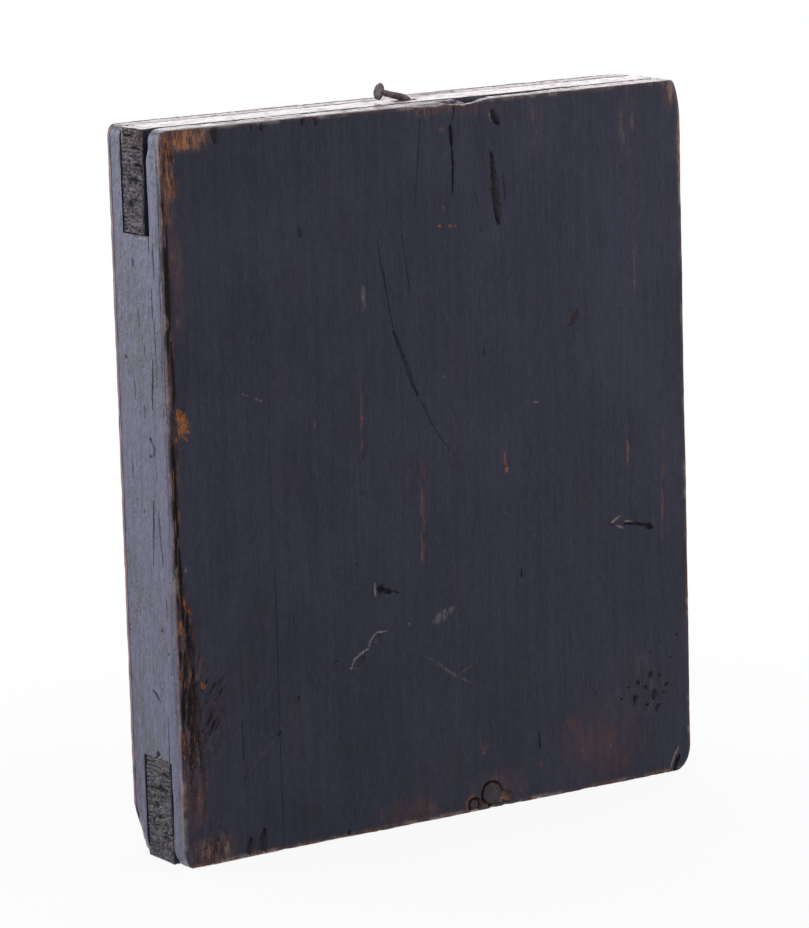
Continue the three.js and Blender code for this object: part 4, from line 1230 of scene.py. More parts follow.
class Growth(Nodes):
    """A tree of geometry nodes with named inputs, which it can run on a mesh."""

    def __init__(self, name, **inputs):
        super().__init__(bpy.data.node_groups.new(name, "GeometryNodeTree"))
        self.tree.is_modifier = True
        new_socket = self.tree.interface.new_socket
        new_socket("Geometry", in_out="INPUT", socket_type="NodeSocketGeometry")
        new_socket("Geometry", in_out="OUTPUT", socket_type="NodeSocketGeometry")
        self.values = {}
        for key, value in inputs.items():
            label = key.replace("_", " ").capitalize()
            socket = new_socket(label, in_out="INPUT", socket_type="NodeSocketFloat")
            self.values[socket.identifier] = value
        self.inputs = self.add("NodeGroupInput").outputs
        self.start = self.inputs["Geometry"]

    def close(self, geometry, material):
        """Ends the tree: real geometry with its material."""
        real = self.link(self.add("GeometryNodeRealizeInstances"), Geometry=geometry)
        dressed = self.link(self.add("GeometryNodeSetMaterial"), Geometry=real, Material=material)
        self.link(self.add("NodeGroupOutput"), Geometry=dressed)

    def run(self, name, slot, source):
        """The plain mesh that the tree makes from a source mesh, as a piece."""
        piece = bpy.data.objects.new(name, source)
        bpy.context.scene.collection.objects.link(piece)
        modifier = piece.modifiers.new("make", "NODES")
        modifier.node_group = self.tree
        for identifier, value in self.values.items():
            modifier[identifier] = value
        evaluated = piece.evaluated_get(bpy.context.evaluated_depsgraph_get())
        mesh = bpy.data.meshes.new_from_object(evaluated)
        piece.modifiers.clear()
        low, high = np.array((LEFT, FRONT, BOTTOM)) * MM, np.array((RIGHT, BACK, TOP)) * MM
        mesh.vertices.foreach_set("co", np.clip(mesh_points(mesh), low, high).ravel())
        mesh.update()
        piece.data = mesh
        mesh.name = name
        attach(piece, BODY)


def make_beads(sizes, material):
    """The row of punched dots round the whole field, a little inside its edge."""
    inset = 3.2
    low = FIELD_LOW[[0, 2]] + inset
    high = FIELD_HIGH[[0, 2]] - inset
    y = FIELD_LOW[1] + 0.06
    corners = [(low[0], y, low[1]), (high[0], y, low[1]), (high[0], y, high[1]), (low[0], y, high[1])]
    path = bpy.data.meshes.new("bead path")
    path.from_pydata([Vector(c) * MM for c in corners], [(0, 1), (1, 2), (2, 3), (3, 0)], [])
    t = Growth("punched dots", width=sizes.bead, spacing=sizes.bead_spacing)
    curve = t.link(t.add("GeometryNodeMeshToCurve"), Mesh=t.start)
    row = t.link(t.add("GeometryNodeResampleCurve", mode="LENGTH"), Curve=curve, Length=t.inputs["Spacing"])
    ball = t.add("GeometryNodeMeshUVSphere")
    ball = t.link(ball, Segments=8, Rings=5, Radius=t.times(t.inputs["Width"], 0.5))
    ball = t.link(t.add("GeometryNodeTransform"), Geometry=ball, Scale=(1, 0.22, 1))
    t.close(t.link(t.add("GeometryNodeInstanceOnPoints"), Points=row, Instance=ball), material)
    t.run("field_beads", "gilding", path)


def rough_ground(name):
    """The faces of a board where fibres stand, with how thickly they stand at each point."""
    board = bpy.data.objects[name].data
    points = mesh_points(board) / MM
    triangles = np.zeros(len(board.polygons) * 3, int)
    board.polygons.foreach_get("vertices", triangles)
    triangles = triangles.reshape(-1, 3)
    thick = np.zeros(len(points))
    for middle, half, share in SPLINTERED:
        gap = np.hypot((points[:, 0] - middle[0]) / half[0], (points[:, 2] - middle[1]) / half[1])
        thick = np.maximum(thick, share * smooth(1.15 - gap, 0, 0.5))
    facing = face_directions(points, triangles)
    chosen = (thick[triangles].max(axis=1) > 0) & (facing[:, 1] > 0.4)
    chosen &= points[triangles[:, 0], 1] > BACK - BACK_SKIN
    used, triangles = np.unique(triangles[chosen], return_inverse=True)
    ground = bpy.data.meshes.new(f"{name} ground")
    ground.from_pydata((points[used] * MM).tolist(), [], triangles.reshape(-1, 3).tolist())
    ground.attributes.new("thick", "FLOAT", "POINT").data.foreach_set("value", thick[used].astype(np.float32))
    return ground


def make_splinters(board, sizes, material, turn, seed):
    """Torn fibres that lie on a board's rough places along its grain. The turn lays them aslant."""
    per_square_metre = 4.0e5
    t = Growth("torn fibres", length=sizes.splinter, width=sizes.splinter_width,
               per_square_metre=per_square_metre, turn=turn)
    thick = t.link(t.add("GeometryNodeInputNamedAttribute", data_type="FLOAT"), Name="thick")
    spread = t.add("GeometryNodeDistributePointsOnFaces", distribute_method="RANDOM")
    density = t.times(thick, t.inputs["Per square metre"])
    places = t.link(spread, Mesh=t.start, Density=density, Seed=seed)
    fibre = t.add("GeometryNodeMeshCone", fill_type="TRIANGLE_FAN")
    radius = t.times(t.inputs["Width"], 0.5)
    fibre = t.link(fibre, Vertices=5, Side_Segments=2, Radius_Top=0.0, Radius_Bottom=radius,
                   Depth=t.inputs["Length"])
    spin, size = (t.add("FunctionNodeRandomValue", data_type="FLOAT_VECTOR") for _ in range(2))
    spin = t.link(spin, Min=(-0.07, -0.10, 0), Max=(0.02, 0.10, 0), Seed=seed + 1)
    size = t.link(size, Min=(0.35, 0.35, 0.25), Max=(1, 1, 1), Seed=seed + 2)
    lean = t.link(t.add("ShaderNodeCombineXYZ"), Y=t.inputs["Turn"])
    angle = t.fill(t.add("ShaderNodeVectorMath", operation="ADD"), spin, lean)
    t.close(t.link(t.add("GeometryNodeInstanceOnPoints"), Points=places, Instance=fibre, Rotation=angle,
                   Scale=size), material)
    t.run(f"{board}_splinters", "varnished_wood", rough_ground(f"{board}_wood"))


# Materials


def times(share, colour):
    """A share of a colour's light."""
    return tuple(share * c for c in colour)


class Shades(Nodes):
    """The nodes of one material. Distances in it are millimetres."""

    def __init__(self, name):
        self.material = bpy.data.materials.new(name)
        self.material.use_nodes = True
        super().__init__(self.material.node_tree)
        self.shader = self.add("ShaderNodeBsdfPrincipled")
        self.output = self.add("ShaderNodeOutputMaterial")
        self.link(self.output, Surface=self.shader.outputs[0])
        self.place = self.stretch((1000, 1000, 1000), self.add("ShaderNodeTexCoord").outputs["Object"])

    def finish(self, **values):
        """Sets the shader's sockets by name, and gives the material."""
        self.link(self.shader, **values)
        return self.material

    def stretch(self, scale, vector=None):
        """The place, or another vector, scaled along each axis."""
        node = self.add("ShaderNodeMapping", vector_type="POINT")
        return self.link(node, Vector=vector or self.place, Scale=scale)

    def noise(self, grain, detail=3, rough=0.55, twist=0.0):
        """Noise whose lumps are as long as the grain says, in millimetres along x, y and z."""
        return self.link(self.add("ShaderNodeTexNoise"), Vector=self.stretch(tuple(1 / g for g in grain)),
                         Scale=1.0, Detail=detail, Roughness=rough, Distortion=twist)

    def cells(self, grain, feature="F1"):
        """Cells about as large as the grain: the distance in them, and their own random colour."""
        node = self.add("ShaderNodeTexVoronoi", feature=feature)
        self.link(node, Vector=self.stretch(tuple(1 / g for g in grain)), Scale=1.0, Randomness=1.0)
        return node.outputs["Distance"], node.outputs.get("Color")

    def ramp(self, value, low, high, start=0.0, end=1.0):
        """A soft step from start to end, as the value goes from low to high."""
        node = self.add("ShaderNodeMapRange", interpolation_type="SMOOTHSTEP")
        return self.fill(node, value, low, high, start, end)

    def mix(self, share, a, b):
        """Colour a, with a share of colour b laid over it."""
        node = self.add("ShaderNodeMix", data_type="RGBA", blend_type="MIX")
        colours = [socket for socket in node.inputs if socket.type == "RGBA"]
        for socket, value in zip((node.inputs["Factor"], *colours), (share, a, b)):
            self.put(socket, value)
        return next(socket for socket in node.outputs if socket.type == "RGBA")

    def bump(self, height, depth, normal=None):
        """A bump as deep as the depth says, in millimetres, where the height goes from 0 to 1."""
        sockets = {"Strength": 1.0, "Distance": depth * MM, "Height": height}
        if normal is not None:
            sockets["Normal"] = normal
        return self.link(self.add("ShaderNodeBump"), **sockets)

    def wear(self):
        """The piece's own wear: bare wood, darkness, dust and stain."""
        worn = self.add("ShaderNodeAttribute", attribute_name="wear", attribute_type="GEOMETRY").outputs
        split = self.add("ShaderNodeSeparateColor")
        self.put(split.inputs[0], worn["Color"])
        return (*split.outputs[:3], worn["Alpha"])

    def axes(self):
        """The place along x, y and z."""
        split = self.add("ShaderNodeSeparateXYZ")
        self.put(split.inputs[0], self.place)
        return split.outputs

    def speckled(self, share, pattern):
        """A share made stronger and weaker from place to place by a pattern round 0.5."""
        return self.times(share, self.ramp(pattern, 0.32, 0.66, 0.3, 1.5))


def varnish_tone(s, grain, strength, slant=0.0):
    """Where the varnish has greyed: streaks along the grain, mottling and wide clouds. With a slant it adds
    painted light, lighter towards -X and the top.
    """
    streaks = s.ramp(s.noise(grain, detail=5, rough=0.62), 0.42, 0.6, 0.0, 0.34)
    mottle = s.ramp(s.noise((1.3, 1.3, 3.4), detail=5, rough=0.75), 0.43, 0.6, 0.0, 0.55)
    clouds = s.ramp(s.noise((34, 40, 50), detail=5), 0.4, 0.62, 0.0, 0.4)
    tone = s.math("ADD", s.math("ADD", streaks, mottle), clouds)
    # Painted light: the slant greys the varnish more towards -X and towards the top
    if slant:
        x, _, z = s.axes()
        across = s.ramp(x, RIGHT, LEFT, 0.0, slant)
        tone = s.math("MULTIPLY_ADD", across, s.ramp(z, BOTTOM, TOP, 0.1, 1.5), tone)
    return s.times(tone, strength)


def varnished_wood(name, colours, grain, haze, strength, level, rough, relief, pitting, slant=0.0):
    """Blackened varnish on long grain, with streaks, specks, worn patches and dark hollows, whose darkness is
    grime and painted shade. The level is its shine. The relief is the depth of the streaks and of wider
    lumps, the pitting says how dark the pores are, and the slant adds painted light towards -X and the top."""
    s = Shades(name)
    fine = s.noise(times(0.3, grain), detail=5, rough=0.75)
    flecks = s.noise(tuple(g * 0.45 if g < 20 else g * 0.11 for g in grain), detail=2, rough=0.6)
    grime = s.noise((3.2, 3.2, 5), detail=4, rough=0.65)
    brown = s.noise((22, 22, 48), detail=4, rough=0.6)
    hair = s.noise((0.4, 0.4, 3.4), detail=4, rough=0.7)
    speck = s.noise((0.7, 0.7, 1.1), detail=4, rough=0.7)
    lumps = s.noise((2.6, 2.6, 6))
    pores = s.noise((0.75, 0.75, 1.3), rough=0.6)
    crumbly = s.noise((0.75, 0.75, 1.1), rough=0.6)
    bare, dark, pale, stain = s.wear()
    hollow = tuple(0.7 * pit + 0.12 * grey for pit, grey in zip(colours.pit, haze))
    clean = tuple(0.8 * black + 0.13 * grey for black, grey in zip(colours.varnish, haze))
    base = s.mix(varnish_tone(s, grain, strength, slant), clean, haze)
    base = s.mix(s.ramp(brown, 0.52, 0.76, 0.0, 0.14), base, colours.umber)
    base = s.mix(s.ramp(flecks, 0.62, 0.76, 0.0, 0.6), base, hollow)
    base = s.mix(s.ramp(pores, 0.56, 0.68, 0.0, pitting), base, hollow)
    pits, pit_colour = s.cells((2.4, 2.4, 3.6))
    chosen = s.ramp(s.math("ADD", pit_colour, s.times(dark, 0.7)), 0.66, 0.7)
    pits = s.times(s.ramp(pits, 0.3, 0.16), chosen)
    dashes, dash_colour = s.cells((4.5, 4.5, 26))
    dashes = s.times(s.ramp(dashes, 0.13, 0.07), s.ramp(dash_colour, 0.5, 0.52))
    pits = s.times(s.most(pits, s.times(dashes, 0.8)), 0.4 + 0.6 * pitting)
    base = s.mix(pits, base, hollow)
    base = s.mix(s.times(s.speckled(stain, grime), 0.62), base, colours.stain)
    dirty = s.ramp(dark, 0.04, 0.3)
    crumbs = s.ramp(s.math("MULTIPLY_ADD", dirty, 0.06, crumbly), 0.58, 0.62)
    base = s.mix(s.times(crumbs, dirty), base, hollow)
    wood = s.mix(s.ramp(hair, 0.36, 0.6), colours.umber, colours.amber)
    wood = s.mix(s.ramp(grime, 0.5, 0.72, 0.0, 0.45), wood, colours.stain)
    patch = s.math("MINIMUM", s.speckled(bare, speck), 1.0)
    base = s.mix(patch, base, wood)
    dots, dot_colour = s.cells((5.5, 5.5, 5.5))
    dots = s.times(s.ramp(dots, 0.07, 0.03), s.ramp(dot_colour, 0.72, 0.74))
    base = s.mix(s.times(dots, 0.22), base, colours.dust)
    dusty = s.math("MINIMUM", s.speckled(pale, hair), 1.0)
    base = s.mix(dusty, base, colours.dust)
    # The darkness share, grime and painted shade, turns the colour towards the hollow and deep colours
    shade = s.most(s.ramp(s.speckled(dark, speck), 0.2, 1.0), s.ramp(dark, 0.5, 0.95))
    deep = s.mix(s.math("MINIMUM", stain, 1.0), hollow, times(0.08, colours.stain))
    base = s.mix(shade, base, deep)
    gloss = s.ramp(grime, 0.3, 0.7, rough - 0.05, rough + 0.08)
    worn = s.most(patch, s.most(dusty, s.ramp(dark, 0.2, 0.7)))
    gloss = s.most(gloss, s.times(worn, 0.75))
    streak_depth, lump_depth = relief
    normal = s.bump(lumps, lump_depth)
    normal = s.bump(fine, streak_depth, normal)
    normal = s.bump(speck, streak_depth * 0.6, normal)
    normal = s.bump(s.math("SUBTRACT", 1.0, flecks), streak_depth * 1.4, normal)
    normal = s.bump(s.ramp(pores, 0.68, 0.56), pitting * 0.16, normal)
    normal = s.bump(s.math("SUBTRACT", 1.0, pits), 0.2, normal)
    normal = s.bump(s.times(hair, s.most(patch, dark)), 0.25, normal)
    return s.finish(Base_Color=base, Roughness=gloss, Normal=normal, Specular_IOR_Level=level, IOR=1.5)


def end_grain_wood(name, colours, base_colour, depth, ring, level, rough, cleaner=0.35):
    """End grain: growth rings about a millimetre wide, pores, and grime that leaves a cleaner share."""
    s = Shades(name)
    warp = s.noise((26, 26, 26), detail=2)
    rings = s.noise(ring, detail=3, rough=0.6, twist=0.6)
    pores = s.noise((0.5, 0.5, 0.5), rough=0.7)
    grime = s.noise((4, 3, 4), detail=4, rough=0.65)
    bare, dark, pale, _ = s.wear()
    tone = s.math("ADD", s.ramp(rings, 0.35, 0.65, 0.0, 0.6), s.ramp(warp, 0.3, 0.7, 0.0, 0.4))
    base = s.mix(tone, tuple((cleaner + 0.1) * c for c in base_colour), base_colour)
    base = s.mix(s.ramp(grime, 0.52, 0.75, 0.0, 0.7), base, times(cleaner, base_colour))
    base = s.mix(s.ramp(s.noise((7, 7, 9)), 0.46, 0.62, 0.0, 0.5 * (1 - level)), base, colours.umber)
    patch = s.math("MINIMUM", s.speckled(bare, pores), 1.0)
    base = s.mix(patch, base, s.mix(rings, colours.umber, colours.amber))
    base = s.mix(s.times(pale, 0.8), base, colours.dust)
    base = s.mix(s.ramp(dark, 0.2, 0.85), base, colours.pit)
    normal = s.bump(s.math("MULTIPLY_ADD", rings, 0.6, s.times(pores, 0.4)), depth)
    gloss = s.most(s.ramp(grime, 0.3, 0.7, rough - 0.08, rough + 0.1), s.times(dark, 0.85))
    return s.finish(Base_Color=base, Roughness=gloss, Normal=normal, Specular_IOR_Level=level, IOR=1.5)


def torn_wood(colours):
    """Torn fibres: bare wood that goes from brown to pale within each few millimetres."""
    s = Shades("torn wood")
    tone = s.noise((0.8, 0.8, 5))
    patches = s.noise((3, 3, 8))
    worn = s.mix(s.ramp(tone, 0.4, 0.62), colours.umber, times(0.6, colours.amber))
    worn = s.mix(s.ramp(tone, 0.56, 0.66, 0.0, 0.7), worn, times(0.7, colours.bare_wood))
    base = s.mix(s.ramp(patches, 0.5, 0.62), colours.varnish, worn)
    return s.finish(Base_Color=base, Roughness=0.7, Normal=s.bump(tone, 0.1), Specular_IOR_Level=0.3)


def forged_iron(name, iron, rust):
    """Forged iron with brown rust in patches, brighter where it has been rubbed."""
    s = Shades(name)
    scale = s.noise((0.9, 0.9, 0.9), detail=5, rough=0.65)
    patches = s.noise((2.6, 2.6, 2.6), detail=4, rough=0.6)
    base = s.mix(s.ramp(patches, 0.4, 0.62), iron, rust)
    base = s.mix(s.ramp(scale, 0.58, 0.72), base, times(2.4, iron))
    base = s.mix(s.ramp(scale, 0.48, 0.4, 0.0, 0.8), base, times(0.3, iron))
    normal = s.bump(scale, 0.3)
    normal = s.bump(patches, 0.5, normal)
    gloss = s.ramp(patches, 0.35, 0.65, 0.4, 0.7)
    return s.finish(Base_Color=base, Roughness=gloss, Normal=normal, Specular_IOR_Level=0.22)


def woven_linen(colours):
    """Coarse plain linen, stiff with glue, with the sides' varnish and its painted sheen at the panel's edge.
    """
    s = Shades("glued linen")
    warp = s.add("ShaderNodeTexWave", wave_type="BANDS", bands_direction="X")
    weft = s.add("ShaderNodeTexWave", wave_type="BANDS", bands_direction="Z")
    for wave in (warp, weft):
        s.link(wave, Vector=s.place, Scale=0.42, Distortion=1.2, Detail=2.0)
    weave = s.most(warp.outputs["Fac"], weft.outputs["Fac"])
    slubs = s.noise((1, 1, 7))
    base = s.mix(s.ramp(weave, 0.35, 0.9), times(0.35, colours.linen), colours.linen)
    base = s.mix(s.ramp(slubs, 0.5, 0.75, 0.0, 0.5), base, colours.umber)
    base, gloss = varnished_side(s, colours, base, 0.85)
    return s.finish(Base_Color=base, Roughness=gloss, Normal=s.bump(weave, 0.12), Specular_IOR_Level=0.7)


def varnished_side(s, colours, base, gloss, redness=0.8):
    """The colour and gloss of a front layer, with the varnish of the panel's sides where it ends there:
    greyed varnish with painted sheen, and a reddish rim that is partly a painted highlight.
    """
    side = side_coat_share(s)
    coat = s.mix(varnish_tone(s, (1.4, 1.4, 50), 0.9), colours.varnish, colours.side_haze_and_sheen)
    coat = s.mix(s.ramp(s.noise((2, 2, 9), detail=4), 0.3, 0.55, 0.1, redness), coat, colours.rim)
    coat = s.mix(s.ramp(s.noise((3, 3, 14)), 0.62, 0.72, 0.0, 0.4), coat, colours.amber)
    return s.mix(side, base, coat), s.math("ADD", gloss, s.times(side, s.math("SUBTRACT", 0.4, gloss)))


def side_coat_share(s):
    """1 on the outer sides of the panel and 0 on its front, broken up a little."""
    x, _, z = s.axes()
    across = s.math("SUBTRACT", RIGHT, s.math("ABSOLUTE", x))
    up = s.math("SUBTRACT", HALF_WAY_UP, s.math("ABSOLUTE", s.math("SUBTRACT", z, HALF_WAY_UP)))
    rim = s.math("MINIMUM", across, up)
    broken = s.times(s.math("SUBTRACT", s.noise((2, 2, 4)), 0.5), 1.6)
    return s.ramp(s.math("ADD", rim, broken), 1.7, 0.7)


def chalk_gesso(colours):
    """Aged gesso: yellowed chalk with fine cracks and grime."""
    s = Shades("aged gesso")
    cracks, _ = s.cells((7, 7, 8), feature="DISTANCE_TO_EDGE")
    lines = s.ramp(cracks, 0.03, 0.008)
    clouds = s.noise((9, 9, 12), detail=4)
    base = s.mix(s.ramp(clouds, 0.35, 0.7), colours.gesso, times(0.6, colours.gesso))
    base = s.mix(lines, base, colours.umber)
    base, gloss = varnished_side(s, colours, base, 0.8)
    normal = s.bump(s.math("SUBTRACT", s.noise((1, 1, 1)), lines), 0.12)
    return s.finish(Base_Color=base, Roughness=gloss, Normal=normal, Specular_IOR_Level=0.7)


def aged_paint(name, colours, main, second, rough, losses, sheen=0.4, metal=0.0):
    """Old tempera under dark varnish: brushwork, a net of fine cracks, grime, and losses to the gesso."""
    s = Shades(name)
    strokes = s.noise((6, 6, 1.2), detail=4, rough=0.6)
    clouds = s.noise((45, 45, 60))
    grime = s.noise((12, 12, 15), detail=5, rough=0.65)
    net, _ = s.cells((5, 5, 3.6), feature="DISTANCE_TO_EDGE")
    finer, _ = s.cells((1.9, 1.9, 1.5), feature="DISTANCE_TO_EDGE")
    cracks = s.most(s.ramp(net, 0.035, 0.01), s.times(s.ramp(finer, 0.05, 0.015), 0.5))
    flakes = s.noise((7, 7, 8), detail=6, rough=0.7)
    spread = s.noise((70, 70, 80), detail=2)
    lost = s.ramp(s.math("MULTIPLY_ADD", spread, 0.35, s.times(flakes, 0.65)), losses, losses + 0.012)
    tone = s.math("MULTIPLY_ADD", strokes, 0.6, s.times(clouds, 0.4))
    base = s.mix(s.ramp(tone, 0.36, 0.64), main, second)
    base = s.mix(s.ramp(grime, 0.45, 0.75, 0.0, 0.7), base, times(0.35, main))
    base = s.mix(s.times(cracks, 0.75), base, colours.umber)
    shown = s.mix(s.ramp(flakes, 0.6, 0.75), times(0.55, colours.gesso), colours.gesso)
    base = s.mix(lost, base, shown)
    height = s.math("SUBTRACT", s.times(strokes, 0.35), s.math("MULTIPLY_ADD", lost, 0.9, cracks))
    gloss = s.most(s.ramp(grime, 0.3, 0.7, rough - 0.08, rough + 0.12), s.times(lost, 0.8))
    base, gloss = varnished_side(s, colours, base, gloss, 0.9)
    shine = s.times(s.math("SUBTRACT", 1.0, lost), metal) if metal else 0.0
    normal = s.bump(height, 0.13)
    return s.finish(Base_Color=base, Roughness=gloss, Normal=normal, Specular_IOR_Level=sheen, Metallic=shine)


# Operators


class MakeBoards(bpy.types.Operator):
    """Make the three boards with their grooves, joints, cracks and worn edges"""

    bl_idname = "icon.make_boards"
    bl_label = "Boards"

    def execute(self, context):
        sizes, colours = settings(context)
        materials = [
            # The back's varnish is slanted: painted light, lighter towards -X and the top
            varnished_wood("back varnish", colours, (2.2, 2.2, 60), colours.haze, strength=0.62, level=0.22,
                           rough=0.42, relief=(0.06, 0.14), pitting=0.5, slant=0.4),
            # Side varnish: greyed varnish and a painted reflection of the lamps, lighter and bluer than the
            # back's
            varnished_wood("side varnish", colours, (1.6, 1.6, 36), colours.side_haze_and_sheen, strength=1.15,
                           level=0.78, rough=0.35, relief=(0.08, 0.4), pitting=0.75),
            # The boards' end grain is a pale grey: dust, and a painted reflection of the lamps on the top at
            # a glancing angle
            end_grain_wood("board ends", colours, (0.30, 0.27, 0.285), depth=0.06, ring=(4.5, 1.0, 4.5),
                           level=0.7, rough=0.42, cleaner=0.6),
        ]
        far = 1e4
        make_board("left_board", -far, LEFT_JOINT, sizes, materials)
        make_board("middle_board", LEFT_JOINT, RIGHT_JOINT, sizes, materials)
        make_board("right_board", RIGHT_JOINT, far, sizes, materials)
        return {"FINISHED"}


class MakeSplinters(bpy.types.Operator):
    """Make the torn fibres on the boards' rough places"""

    bl_idname = "icon.make_splinters"
    bl_label = "Torn fibres"

    def execute(self, context):
        sizes, colours = settings(context)
        material = torn_wood(colours)
        make_splinters("right_board", sizes, material, 0.0, 3)
        make_splinters("middle_board", sizes, material, 1.35, 8)
        return {"FINISHED"}


class MakeBattens(bpy.types.Operator):
    """Make the two battens that lie in the grooves of the panel's ends"""

    bl_idname = "icon.make_battens"
    bl_label = "Battens"

    def execute(self, context):
        sizes, colours = settings(context)
        materials = [
            end_grain_wood("batten ends", colours, (0.094, 0.080, 0.104), depth=0.2, ring=(0.9, 1.4, 0.5),
                           level=0.5, rough=0.5),
            varnished_wood("batten faces", colours, (50, 1.4, 1.4), colours.haze, strength=1.4, level=0.4,
                           rough=0.5, relief=(0.08, 0.06), pitting=0.3),
            # The battens' top and bottom faces are a pale grey: dust, and a painted reflection of the lamps
            # at a glancing angle
            end_grain_wood("batten edge", colours, (0.34, 0.30, 0.32), depth=0.08, ring=(34, 1.0, 1.0),
                           level=0.8, rough=0.38, cleaner=0.5),
        ]
        top_slants = {"front_slant": (0.05, 0.0), "back_slant": (-sizes.swell / MM, 1.6)}
        bottom_slants = {"front_slant": (0.1, 0.3), "back_slant": (-0.4, 0.2)}
        make_batten("top_batten", TOP_BATTEN, sizes=sizes, materials=materials, **top_slants)
        make_batten("bottom_batten", BOTTOM_BATTEN, sizes=sizes, materials=materials, **bottom_slants)
        return {"FINISHED"}


class MakeNails(bpy.types.Operator):
    """Make the bent hanging nail and the two nails in the back"""

    bl_idname = "icon.make_nails"
    bl_label = "Nails"

    def execute(self, context):
        _, colours = settings(context)
        iron = forged_iron("forged iron", colours.iron, colours.rust)
        make_top_nail(forged_iron("worn iron", colours.worn_iron, colours.worn_rust))
        large = {"head_radius": 5.2, "head_thickness": 1.35, "shank": 3.6, "seed": 12}
        small = {"head_radius": 2.35, "head_thickness": 0.95, "shank": 2.0, "seed": 17}
        make_back_nail("large_back_nail", LARGE_NAIL, material=iron, **large)
        make_back_nail("small_back_nail", SMALL_NAIL, material=iron, **small)
        return {"FINISHED"}


class MakeGrounds(bpy.types.Operator):
    """Make the linen and the gesso on the front"""

    bl_idname = "icon.make_grounds"
    bl_label = "Linen and gesso"

    def execute(self, context):
        _, colours = settings(context)
        plate = {"step": 3.0, "covers": lambda x, z: np.ones(x.shape, bool)}
        make_layer("linen_ground", "linen", woven_linen(colours), wear=0.0, seed=201, **plate)
        make_layer("gesso_ground", "gesso", chalk_gesso(colours), wear=0.05, seed=203, **plate)
        return {"FINISHED"}


class MakePaint(bpy.types.Operator):
    """Make the layers of paint: edge line, border, slope, field, meadow, hill and cross"""

    bl_idname = "icon.make_paint"
    bl_label = "Paint"

    def execute(self, context):
        _, c = settings(context)
        # Slot, main and second colour, roughness and where losses start, then shine and metal of gilding
        finishes = {
            "edge_line_paint": ("red_paint", c.red, times(0.6, c.red), 0.5, 0.66),
            "border_paint": ("ochre_paint", c.ochre, times(0.7, c.ochre), 0.48, 0.68),
            "slope_paint": ("red_paint", c.red, times(0.55, c.red), 0.5, 0.7),
            "field_paint": ("gilding", c.gold, times(0.72, c.gold), 0.42, 0.665, 0.5, 0.55),
            "meadow_paint": ("green_paint", c.green, times(0.6, c.green), 0.52, 0.69),
            "hill_paint": ("brown_paint", c.brown, times(1.9, c.brown), 0.52, 0.7),
            "cross_paint": ("brown_paint", times(0.7, c.red), c.brown, 0.5, 0.7),
        }
        border, slope = node_box("border_paint"), (SLOPE_LOW, SLOPE_HIGH)
        field = (FIELD_LOW, FIELD_HIGH)
        covers = {
            "edge_line_paint": lambda x, z: ~in_box(x, z, *border),
            "border_paint": lambda x, z: in_box(x, z, *border) & ~in_box(x, z, *slope),
            "slope_paint": lambda x, z: in_box(x, z, *slope) & ~in_box(x, z, *field),
            "field_paint": lambda x, z: in_box(x, z, *field) & (z > MEADOW_HIGH[2]),
            "meadow_paint": lambda x, z: in_box(x, z, *field) & (z < MEADOW_HIGH[2]),
        }
        for i, (node, (slot, *finish)) in enumerate(finishes.items()):
            material, seed = aged_paint(node.replace("_", " "), c, *finish), 211 + 7 * i
            if node in covers:
                make_layer(node, slot, material, step=2.0, covers=covers[node], wear=0.08, seed=seed)
            else:
                make_emblem(node, slot, material, seed)
        return {"FINISHED"}


class MakeBeads(bpy.types.Operator):
    """Make the punched dots round the field"""

    bl_idname = "icon.make_beads"
    bl_label = "Punched dots"

    def execute(self, context):
        sizes, c = settings(context)
        make_beads(sizes, aged_paint("dot gilding", c, c.gold, times(0.6, c.gold), 0.36, 0.7, 0.5, 0.6))
        return {"FINISHED"}


class DressPegs(bpy.types.Operator):
    """Give the pegs inside the joints their wood"""

    bl_idname = "icon.dress_pegs"
    bl_label = "Pegs"

    def execute(self, context):
        _, colours = settings(context)
        s = Shades("peg wood")
        grain = s.noise((40, 0.8, 0.8), detail=4)
        base = s.mix(s.ramp(grain, 0.35, 0.65), times(0.5, colours.bare_wood), colours.bare_wood)
        gloss = s.ramp(grain, 0.3, 0.7, 0.6, 0.8)
        wood = s.finish(Base_Color=base, Roughness=gloss, Normal=s.bump(grain, 0.1))
        for name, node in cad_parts.items():
            if name.startswith("joint_dowel"):
                node.data.materials.clear()
                node.data.materials.append(wood)
        return {"FINISHED"}


